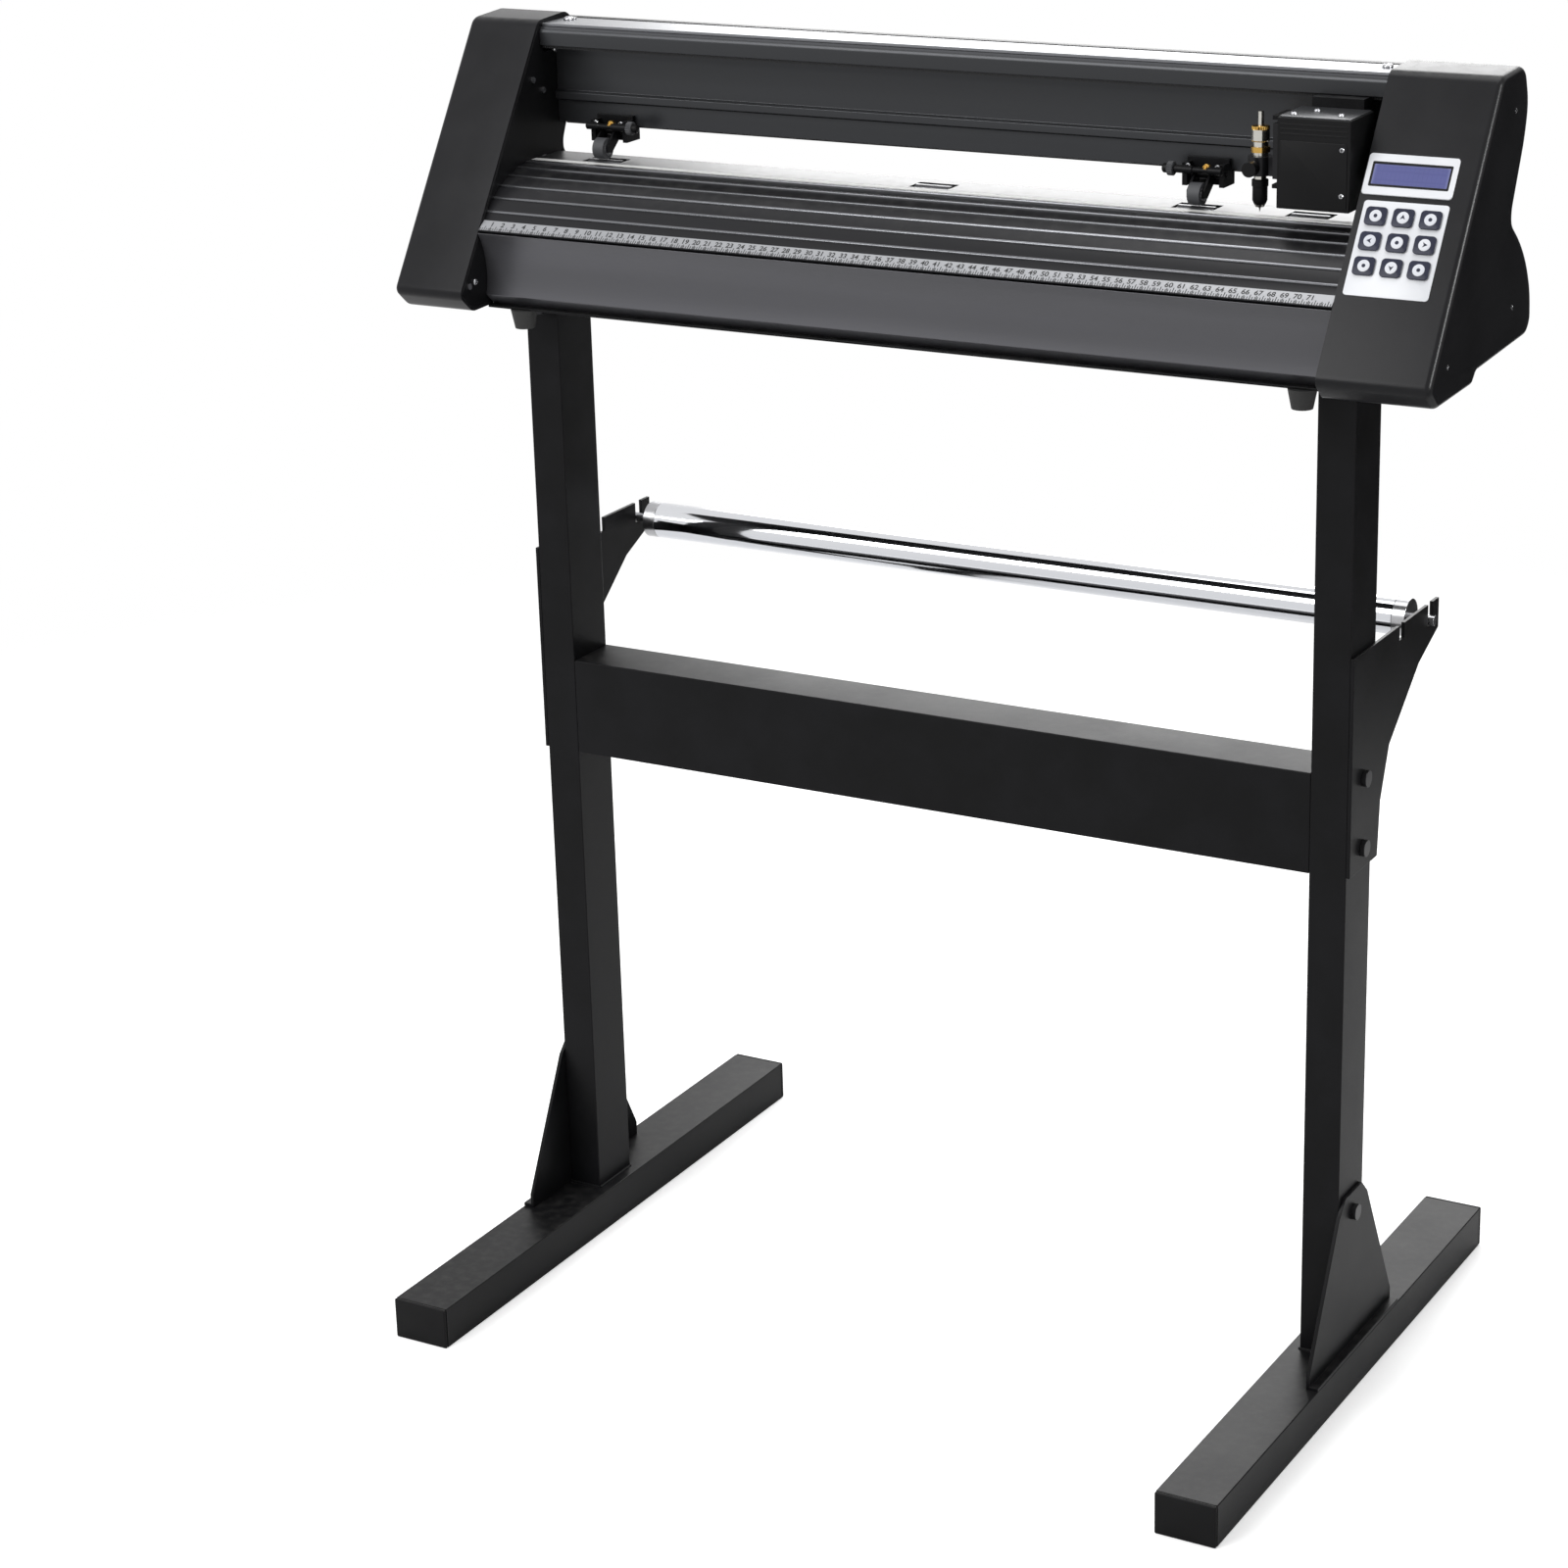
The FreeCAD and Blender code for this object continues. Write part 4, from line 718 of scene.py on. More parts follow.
    def cut(self, tool: "Solid") -> "Solid":
        """Takes another solid away from this one.

        Args:
            tool: what is taken away.

        Returns:
            This solid.
        """
        stock, cutter = self._as_object(), tool._as_object()
        trim = stock.modifiers.new("cut", "BOOLEAN")
        trim.object, trim.operation, trim.solver = cutter, "DIFFERENCE", "EXACT"
        bpy.context.view_layer.update()
        result = bpy.data.meshes.new_from_object(stock.evaluated_get(bpy.context.evaluated_depsgraph_get()))
        self.mesh.clear()
        self.mesh.from_mesh(result)
        for spent in (stock, cutter):
            bpy.data.objects.remove(spent)
        return self

    def piece(self, name: str, body: str, slot: str, finish: Finish, *stands_for: str) -> bpy.types.Object:
        """Makes the mesh a piece of the machine.

        Args:
            name: the piece's name.
            body: the CAD body that it rides on.
            slot: the record's material slot; not used.
            finish: what it is made of.
            stands_for: CAD nodes that it replaces.

        Returns:
            The new object.
        """
        bmesh.ops.recalc_face_normals(self.mesh, faces=self.mesh.faces)
        data = bpy.data.meshes.new(name)
        self.mesh.to_mesh(data)
        self.mesh.free()
        data.shade_smooth()
        data.set_sharp_from_angle(angle=math.radians(32))
        data.materials.append(finish.material())
        made = bpy.data.objects.new(name, data)
        bpy.context.scene.collection.objects.link(made)
        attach(made, body)
        if stands_for:
            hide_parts(*stands_for)
        LOG.info("%s on %s, finish %s", name, body, finish.name)
        return made


def rounded(width: float, height: float, radius: float, steps: int = 6) -> list[Point]:
    """A rectangle about (0, 0) with round corners, anticlockwise.

    Args:
        width, height: its size.
        radius: the corners' radius.
        steps: points over each corner.

    Returns:
        Its corners.
    """
    points = []
    for turn, (sx, sy) in enumerate(((1, 1), (-1, 1), (-1, -1), (1, -1))):
        for k in range(steps + 1):
            angle = math.pi / 2 * (turn + k / steps)
            points.append((
                sx * (width / 2 - radius) + radius * math.cos(angle),
                sy * (height / 2 - radius) + radius * math.sin(angle),
            ))
    return points


def eased(corners: Sequence[tuple[float, float, float]], steps: int = 7) -> list[Point]:
    """An outline with each corner rounded off.

    Args:
        corners: (first, second, how far back the rounding starts) for each corner.
        steps: points over each corner.

    Returns:
        The rounded outline.
    """
    spots = [Vector((u, v)) for u, v, _ in corners]
    points = []
    for k, spot in enumerate(spots):
        ends = []
        for near in (spots[k - 1], spots[(k + 1) % len(spots)]):
            side = near - spot
            ends.append(spot + side.normalized() * min(corners[k][2], 0.48 * side.length))
        for n in range(steps + 1):
            share = n / steps
            point = ends[0] * (1 - share) ** 2 + spot * 2 * share * (1 - share) + ends[1] * share**2
            points.append((point.x, point.y))
    return points


def drawn_in(outline: Sequence[Point], amount: float) -> list[Point]:
    """An anticlockwise outline moved inward all round.

    Args:
        outline: its corners.
        amount: how far.

    Returns:
        As many corners.
    """
    moved = []
    for k, here in enumerate(outline):
        before, after = Vector(outline[k - 1]), Vector(outline[(k + 1) % len(outline)])
        way = (Vector(here) - before).normalized() + (after - Vector(here)).normalized()
        inward = Vector((-way.y, way.x)).normalized()
        moved.append((here[0] + inward.x * amount, here[1] + inward.y * amount))
    return moved


def soften(finish: Finish, names: Sequence[str], edge: float, steps: int = 2) -> None:
    """Gives CAD nodes their finish and small round edges, without changing their meshes.

    Args:
        finish: what they are made of.
        names: the CAD nodes.
        edge: the round's size in metres; 0 leaves the edges alone.
        steps: the faces over each round.
    """
    for name in names:
        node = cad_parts[name]
        for slot in node.material_slots:
            slot.material = finish.material()
        if not node.material_slots:
            node.data.materials.append(finish.material())
        if edge:
            weld = node.modifiers.new("weld", "WELD")
            weld.merge_threshold = 0.01 * MM
            flat = node.modifiers.new("flat_faces", "DECIMATE")
            flat.decimate_type, flat.angle_limit = "DISSOLVE", math.radians(1)
            soft = node.modifiers.new("round_edges", "BEVEL")
            soft.width, soft.segments, soft.limit_method = edge, steps, "ANGLE"
            soft.angle_limit, soft.use_clamp_overlap = math.radians(30), True
            even = node.modifiers.new("even_shading", "WEIGHTED_NORMAL")
            even.weight, even.thresh = 50, 0.01
        LOG.info("%s, CAD node, finish %s", name, finish.name)


def centre(node: str) -> Vector:
    """The middle of a CAD node's box, in metres."""
    low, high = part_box(node)
    return (low + high) / 2


def outer_face(node: str, across: Vector, upward: Vector, outermost: bool = True) -> Vector:
    """The middle of a flat CAD part's outer or inner face.

    Args:
        node: the CAD node.
        across: one direction along the face.
        upward: the other; the face looks along across x upward.
        outermost: False for the inner face.

    Returns:
        The point.
    """
    points = [v.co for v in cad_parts[node].data.vertices]
    place = Vector()
    for way in (across, upward):
        reach = [p.dot(way) for p in points]
        place += way * (min(reach) + max(reach)) / 2
    out = across.cross(upward)
    depths = [p.dot(out) for p in points]
    return place + out * (max(depths) if outermost else min(depths))


def screw(solid: Solid, place: Vector, axis: Vector, radius: float, recess: Outline = Outline.CROSS) -> None:
    """Adds a domed screw head with a recess.

    Args:
        solid: the shells to add it to.
        place: the middle of the head's seat.
        axis: the way that the head faces.
        radius: the head's radius.
        recess: the recess's outline.
    """
    deep = radius * (0.62 if recess is Outline.CROSS else 0.55)
    solid.turned(
        [(radius * 0.96, -0.2 * MM), (radius, 0.12 * radius), (radius * 0.93, 0.36 * radius),
         (radius * 0.76, 0.52 * radius), (deep * 1.06, 0.58 * radius, recess),
         (deep * 0.98, 0.54 * radius, recess), (deep * 0.8, 0.2 * radius, recess)],
        place, axis,
    )

# ---------------------------------------------------------------- sub-assemblies


X_AXIS, Y_AXIS, Z_AXIS = Vector((1, 0, 0)), Vector((0, 1, 0)), Vector((0, 0, 1))
LEFT_FACE, RIGHT_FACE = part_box("left_end_cover")[1].x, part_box("right_end_cover")[0].x


@dataclass
class FloorStand:
    """Two welded legs on floor bars, with the crossbar and the media roller."""

    edge: float = 0.9 * MM
    weld: float = 1.6 * MM
    weld_ripples: int = 28
    half_post: tuple[float, float] = (15 * MM, 25 * MM)
    top_plate: float = 3 * MM
    lip_size: tuple[float, float] = (50.6 * MM, 34.8 * MM)
    lip_thick: float = 1.2 * MM
    lip_round: float = 2.4 * MM
    lip_proud: float = 0.1 * MM

    def build(self) -> None:
        """Weld beads where the legs meet the bars and the top plates."""
        self._welds()
        self._cap_ribs()

    def _welds(self) -> None:
        """A rippled bead round the foot of each leg and under its top plate."""
        beads = Solid()
        for side in ("left", "right"):
            post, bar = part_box(f"{side}_post"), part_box(f"{side}_foot_bar")
            x = (post[0].x + post[1].x) / 2
            half_x, half_y = self.half_post
            for z in (bar[1].z, post[1].z - self.top_plate):
                for sx, sy, along, run in ((0, -1, X_AXIS, half_x), (0, 1, X_AXIS, half_x),
                                           (-1, 0, Y_AXIS, half_y), (1, 0, Y_AXIS, half_y)):
                    spot = Vector((x + sx * half_x, sy * half_y, z)) - along * run
                    rings = [(self.weld * (0.86 + 0.14 * (k % 2)), 2 * run * k / self.weld_ripples)
                             for k in range(self.weld_ripples + 1)]
                    beads.turned(rings, spot, along, 10)
        beads.piece("weld_beads", "root", "black_steel", POWDER)

    def _cap_ribs(self) -> None:
        """The thin lip of each bar's end cap."""
        lips = Solid()
        for side in ("left", "right"):
            low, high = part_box(f"{side}_foot_bar")
            x, z = (low.x + high.x) / 2, high.z / 2
            for y, way in ((low.y, 1), (high.y, -1)):
                lips.slab(rounded(*self.lip_size, self.lip_round), Vector((x, y - self.lip_proud * way, z)),
                          X_AXIS * way, Z_AXIS, -self.lip_thick, 0.3 * MM)
        lips.piece("cap_lips", "root", "black_plastic", DARK_PLASTIC)

    def dress(self) -> None:
        """Powder coat on the steel, moulded caps on the bars, chrome on the roller."""
        soften(POWDER, ("left_foot_bar", "right_foot_bar", "left_post", "right_post", "crossbar"), self.edge)
        soften(POWDER, ("foot_gussets", "roller_brackets"), 0.4 * MM)
        soften(DARK_PLASTIC, ("foot_end_caps",), 1.4 * MM, 3)
        soften(BLACKENED, ("stand_bolts",), 0.3 * MM)
        soften(PLATED, ("media_roller_ends",), 0.2 * MM)
        soften(CHROME, ("media_roller_tube",), 0)


@dataclass
class EndCover:
    """One moulded end cover: an open-sided shell with a rolled outer edge."""

    side: str
    edge: float = 5 * MM
    wall: float = 2.5 * MM
    steps: int = 6
    cutter_start: float = 4 * MM
    cutter_depth: float = 16 * MM
    sockets: tuple[tuple[float, float, float, float], ...] = (
        (10, 868, 28.4, 21.4), (-34, 874, 13.4, 12.4), (-58, 874, 12.4, 11.4), (42, 868, 15.4, 21.4),
    )
    corners: tuple[tuple[float, float, float], ...] = (
        (-78, 823, 5), (-7, 825, 3), (1, 833, 3), (106, 838, 6), (114, 848, 6), (112, 872, 12),
        (101, 895, 12), (86, 913, 11), (66, 929, 5), (66, 938, 4), (88, 986, 12), (94, 1012, 12),
        (86, 1035, 5), (78, 1040, 4), (37, 1038, 6), (-95, 838, 7),
    )

    def build(self) -> None:
        """The shell, with the sockets' openings in the left one."""
        low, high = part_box(f"{self.side}_end_cover")
        inner, outer = (high.x, low.x) if self.side == "left" else (low.x, high.x)
        way = math.copysign(1, outer - inner)
        outline = eased([(y * MM, z * MM, ease * MM) for y, z, ease in self.corners])
        hollow = drawn_in(outline, self.wall)
        loops = [self._loop(hollow, outer - way * self.wall), self._loop(hollow, inner),
                 self._loop(outline, inner)]
        for k in range(self.steps + 1):
            angle = math.pi / 2 * k / self.steps
            ring = drawn_in(outline, self.edge * (1 - math.cos(angle)))
            loops.append(self._loop(ring, outer - way * self.edge * (1 - math.sin(angle))))
        cover = Solid().shell(loops)
        if self.side == "left":
            cover.cut(self._openings(outer))
        cover.piece(f"{self.side}_cover_shell", "root", "black_plastic", CASING, f"{self.side}_end_cover")

    def _loop(self, outline: Sequence[Point], x: float) -> list[Vector]:
        """An outline's points at one place across the machine."""
        return [Vector((x, y, z)) for y, z in outline]

    def _openings(self, outer: float) -> Solid:
        """Boxes where the inlet, the data sockets and the switch come through.

        Args:
            outer: where the outer wall is.

        Returns:
            The cutting boxes.
        """
        tool = Solid()
        for y, z, wide, tall in self.sockets:
            start = Vector((outer - self.cutter_start, y * MM, z * MM))
            tool.slab(rounded(wide * MM, tall * MM, 0.6 * MM, 3), start, Y_AXIS, Z_AXIS, self.cutter_depth)
        return tool


@dataclass
class Housing:
    """The base plate, the end covers and the rear cover."""

    screw_radius: float = 2.6 * MM
    screw_sink: float = 1.4 * MM
    inner_screws: tuple[Point, ...] = ((60, 1012), (66, 984), (-72, 846))
    outer_screws: tuple[Point, ...] = ((70, 866), (-60, 850), (64, 1010))
    rear_screw: float = 2.4 * MM
    rear_screw_rise: float = 34 * MM
    rear_screw_shares: tuple[float, ...] = (0.04, 0.35, 0.65, 0.96)
    rib_margin: float = 30 * MM
    rib_rises: tuple[float, float] = (16 * MM, 24 * MM)
    rib_drop: float = 20 * MM
    rib_size: tuple[float, float] = (2.4 * MM, 1.3 * MM)

    def build(self) -> None:
        """The end covers and their screws."""
        for side in ("left", "right"):
            EndCover(side).build()
        heads = Solid()
        for y, z in self.inner_screws:
            screw(heads, Vector((LEFT_FACE, y * MM, z * MM)), X_AXIS, self.screw_radius)
        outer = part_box("right_end_cover")[1].x
        for y, z in self.outer_screws:
            for way in (1, -1):
                seat = Vector((way * (outer - self.screw_sink), y * MM, z * MM))
                screw(heads, seat, X_AXIS * way, self.screw_radius)
        heads.piece("cover_screws", "root", "steel", PLATED)
        self._rear_ribs()

    def _rear_ribs(self) -> None:
        """Stiffening ribs and screws on the rear cover."""
        low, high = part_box("rear_cover")
        back, ribs, heads = high.y - 0.6 * MM, Solid(), Solid()
        wide, (tall, thick) = high.x - low.x - 2 * self.rib_margin, self.rib_size
        for z in (*(low.z + rise for rise in self.rib_rises), high.z - self.rib_drop):
            spot = Vector(((low.x + high.x) / 2, back - 0.8 * MM, z))
            ribs.slab(rounded(wide, tall, 1.1 * MM, 4), spot, -X_AXIS, Z_AXIS, thick, 0.4 * MM)
        ribs.piece("rear_cover_ribs", "root", "black_plastic", DARK_PLASTIC)
        for share in self.rear_screw_shares:
            seat = Vector((low.x + (high.x - low.x) * share, back, low.z + self.rear_screw_rise))
            screw(heads, seat, Y_AXIS, self.rear_screw)
        heads.piece("rear_cover_screws", "root", "steel", PLATED)

    def dress(self) -> None:
        """Plastic, powder coat, plated steel and rubber."""
        soften(DARK_PLASTIC, ("rear_cover",), 0.8 * MM)
        soften(POWDER, ("side_plates", "base_plate"), 0.4 * MM)
        soften(PLATED, ("housing_screws", "power_supply"), 0)
        soften(RUBBER, ("rubber_feet",), 0)
        soften(BOARD, ("main_board",), 0)


@dataclass
class MediaDeck:
    """The ribbed platen, the front apron, the ruler and the cutting strip."""

    ribs: int = 6
    rib_width: float = 2.8 * MM
    rib_height: float = 1.3 * MM
    nose_y: float = -54 * MM
    nose_z: float = 893 * MM
    flat_y: float = 16 * MM
    radius: float = 95 * MM
    numeral: float = 6.5 * MM
    numeral_pitch: float = 10 * MM
    numeral_bold: float = 0.12 * MM
    ink_depth: float = 0.03 * MM
    numeral_drop: float = 0.9 * MM

    def build(self) -> None:
        """The platen's ribs and the ruler's numerals."""
        self._ribs()
        self._numerals()

    def _arc_centre(self) -> tuple[float, float]:
        """The centre of the platen's front curve, in y and z."""
        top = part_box("platen")[1].z
        first, last = Vector((self.nose_y, self.nose_z)), Vector((self.flat_y, top))
        middle, chord = (first + last) / 2, last - first
        rise = math.sqrt(self.radius**2 - (chord.length / 2) ** 2)
        out = Vector((chord.y, -chord.x)).normalized()
        return tuple(middle + out * rise)

    def _ribs(self) -> None:
        """Long ribs that the sheet slides over, from the nose up to the cutting strip."""
        hub_y, hub_z = self._arc_centre()
        low = math.atan2(self.nose_z - hub_z, self.nose_y - hub_y)
        high = math.atan2(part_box("platen")[1].z - hub_z, self.flat_y - hub_y)
        bars = Solid()
        for k in range(self.ribs):
            angle = low + (high - low) * (k + 0.55) / self.ribs
            out = Vector((0, math.cos(angle), math.sin(angle)))
            along = Vector((0, math.sin(angle), -math.cos(angle)))
            seat = Vector((LEFT_FACE, hub_y, hub_z)) + out * (self.radius - 0.2 * MM)
            half, tall = self.rib_width / 2, self.rib_height
            section = [(-half, 0), (half, 0), (half * 0.72, tall * 0.8), (half * 0.4, tall),
                       (-half * 0.4, tall), (-half * 0.72, tall * 0.8)]
            bars.slab(section, seat, along, out, RIGHT_FACE - LEFT_FACE, 0.15 * MM)
        # The ribs' light colour is partly painted highlight.
        bars.piece("platen_ribs", "root", "black_aluminium", PLATEN_RIB_HIGHLIGHT)

    def _numerals(self) -> None:
        """The ruler's printed tens."""
        low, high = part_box("ruler_tape")
        slope = Vector((0, self.nose_y, self.nose_z)) - Vector((0, low.y, low.z))
        slope = Vector((0, slope.y, slope.z)).normalized()
        out = X_AXIS.cross(slope)
        seat = outer_face("ruler_tape", X_AXIS, slope) + out * self.ink_depth - slope * self.numeral_drop
        seat.x = 0.0
        marks = bpy.data.curves.new("numerals", "FONT")
        prints = Solid()
        for tens in range(1, int((high.x - low.x) / self.numeral_pitch)):
            marks.body, marks.size, marks.offset = str(tens), self.numeral, self.numeral_bold
            marks.align_x, marks.extrude = "CENTER", self.ink_depth
            text = bpy.data.objects.new("numeral", marks)
            bpy.context.scene.collection.objects.link(text)
            bpy.context.view_layer.update()
            flat = bpy.data.meshes.new_from_object(text.evaluated_get(bpy.context.evaluated_depsgraph_get()))
            bpy.data.objects.remove(text)
            flat.transform(Matrix.Translation(seat + X_AXIS * (low.x + tens * self.numeral_pitch))
                           @ Matrix((X_AXIS, slope, out)).transposed().to_4x4())
            prints.mesh.from_mesh(flat)
        prints.piece("ruler_numerals", "root", "silver", INK)

    def dress(self) -> None:
        """Dark satin metal, with the ruled tape and the pale strip."""
        soften(ANODISED, ("platen",), 0.3 * MM)
        soften(APRON, ("front_apron",), 0.4 * MM)
        soften(RULER, ("ruler_tape",), 0)
        soften(CUT_STRIP, ("cutting_strip",), 0)


@dataclass
class Rail:
    """The carriage's rail and its silver top strip."""

    bead: float = 7.5 * MM
    knob: float = 4.2 * MM
    knob_inset: float = 12 * MM

    def build(self) -> None:
        """The rail's rounded upper bead and the strip's end screws."""
        low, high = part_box("rail_beam")
        bead = Solid()
        middle = Vector((LEFT_FACE, low.y + 1.5 * MM, high.z - self.bead))
        outline = [(self.bead * 0.62 * math.cos(a), self.bead * math.sin(a))
                   for a in (math.pi / 2 + math.pi * k / 14 for k in range(15))]
        bead.slab(list(reversed(outline)), middle, -Y_AXIS, Z_AXIS, -(RIGHT_FACE - LEFT_FACE))
        # The bead's paler finish is a painted highlight on the rail's own material.
        bead.piece("rail_bead", "root", "black_aluminium", RAIL_BEAD_HIGHLIGHT)
        heads = Solid()
        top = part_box("top_strip")[1]
        for x in (LEFT_FACE + self.knob_inset, RIGHT_FACE - self.knob_inset):
            screw(heads, Vector((x, top.y - self.knob_inset, top.z)), Z_AXIS, self.knob, Outline.HEX)
        heads.piece("strip_screws", "root", "steel", PLATED)

    def dress(self) -> None:
        """Black anodised rail, brushed silver strip."""
        soften(RAIL, ("rail_beam",), 0.6 * MM)
        soften(SILVER, ("top_strip",), 0.3 * MM)


@dataclass
class Drives:
    """Motors, pulleys, belts and the feed shaft."""

    def build(self) -> None:
        """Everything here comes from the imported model."""

    def dress(self) -> None:
        """Plated metal and ribbed belts."""
        soften(SHAFT, ("feed_shaft",), 0)
        soften(PLATED, ("shaft_bearings", "stepper_motors", "feed_motor_pulley", "belt_drive_pulley",
                        "belt_idler_pulley"), 0)
        soften(BELT, ("drive_belts",), 0)


@dataclass
class PinchUnits:
    """The two pinch rollers, with their lever screws and thumb nuts."""

    overhang: float = 3 * MM
    screw_radius: float = 2.4 * MM
    screw_reach: float = 12 * MM
    screw_drop: float = 5 * MM
    nut_shift: float = 4 * MM
    nut_drop: float = 5.5 * MM
    bar_reach: float = 4.4 * MM
    bar_rise: float = 13 * MM
    thumb_nut: tuple[Ring, ...] = profile(
        (2.6, 0), (3.2, 0.4, Outline.KNURL), (3.2, 3.4, Outline.KNURL), (2.7, 3.9), (1.6, 4.1), (1.5, 5.6),
        (1.1, 6.1),
    )
    hub: tuple[Ring, ...] = profile((5.6, -0.3), (5.6, 0.25), (4.6, 0.5), (2.6, 0.35), (2.2, 0.6))
    collar: tuple[Ring, ...] = profile(
        (4.4, 0), (5.2, 0.5, Outline.KNURL), (5.2, 4.6, Outline.KNURL), (4.6, 5.2),
    )
    knob: tuple[Ring, ...] = profile((2.6, 5), (3.6, 5.6), (3.6, 8.4), (2.8, 9.4), (1.4, 9.8))

    def build(self) -> None:
        """Zinc-plated screws and brass thumb nuts on each unit, and a hub on each wheel."""
        for side in ("left", "right"):
            self._fittings(side)

    def _fittings(self, side: str) -> None:
        """One unit's screws, nut and hub, with its tie bar.

        Args:
            side: left or right.
        """
        low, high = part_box(f"{side}_pinch_bracket")
        x = (low.x + high.x) / 2
        heads, nuts, hubs = Solid(), Solid(), Solid()
        for way in (-1, 1):
            seat = Vector((x + way * self.screw_reach, low.y, high.z - self.screw_drop))
            screw(heads, seat, -Y_AXIS, self.screw_radius)
        heads.piece(f"{side}_pinch_screws", f"{side}_pinch_unit", "steel", PLATED)
        nuts.turned(self.thumb_nut, Vector((x + self.nut_shift, low.y, high.z - self.nut_drop)), -Y_AXIS)
        nuts.piece(f"{side}_pinch_thumb_nut", f"{side}_pinch_unit", "brass", BRASS)
        self._side_knob(side, low)
        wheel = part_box(f"{side}_pinch_wheel")
        hub = (wheel[0] + wheel[1]) / 2
        for way, face in ((-1, wheel[0].x), (1, wheel[1].x)):
            hubs.turned(self.hub, Vector((face, hub.y, hub.z)), X_AXIS * way, 32)
        hubs.piece(f"{side}_pinch_hub", f"{side}_pinch_roller", "steel", PLATED)

    def _side_knob(self, side: str, low: Vector) -> None:
        """The unit's front tie bar, with a knurled collar and a black knob on one end.

        Args:
            side: left or right.
            low: the bracket's lowest corner.
        """
        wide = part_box(f"{side}_pinch_bracket")[1].x - low.x
        way = X_AXIS if side == "left" else -X_AXIS
        start = low.x if side == "left" else low.x + wide
        place = Vector((start, low.y - self.bar_reach, low.z + self.bar_rise))
        thick, thin = 3.0 * MM, 2.1 * MM
        bar = Solid().turned(
            [(2.2 * MM, 0), (thick, 0.8 * MM), (thick, wide * 0.32), (thin, wide * 0.34), (thin, wide * 0.66),
             (thick, wide * 0.68), (thick, wide + self.overhang)],
            place, way, 28,
        )
        for dx in (wide * 0.14, wide * 0.86):
            bar.slab(rounded(4 * MM, 6 * MM, 1 * MM, 3), place + way * dx + Y_AXIS * 4.5 * MM,
                     X_AXIS, Z_AXIS, 5 * MM, 0.3 * MM)
        bar.piece(f"{side}_pinch_tie_bar", f"{side}_pinch_unit", "black_steel", POWDER)
        end = place + way * (wide + self.overhang)
        collar = Solid().turned(self.collar, end, way)
        collar.piece(f"{side}_pinch_collar", f"{side}_pinch_unit", "wheel_rubber", WHEEL_RUBBER)
        knob = Solid().turned(self.knob, end, way, 32)
        knob.piece(f"{side}_pinch_knob", f"{side}_pinch_unit", "black_plastic", DARK_PLASTIC)

    def dress(self) -> None:
        """Black steel arms and grey rubber wheels."""
        for side in ("left", "right"):
            soften(POWDER, (f"{side}_pinch_bracket", f"{side}_pinch_arm"), 0.25 * MM)
            soften(WHEEL_RUBBER, (f"{side}_pinch_wheel",), 0.3 * MM)


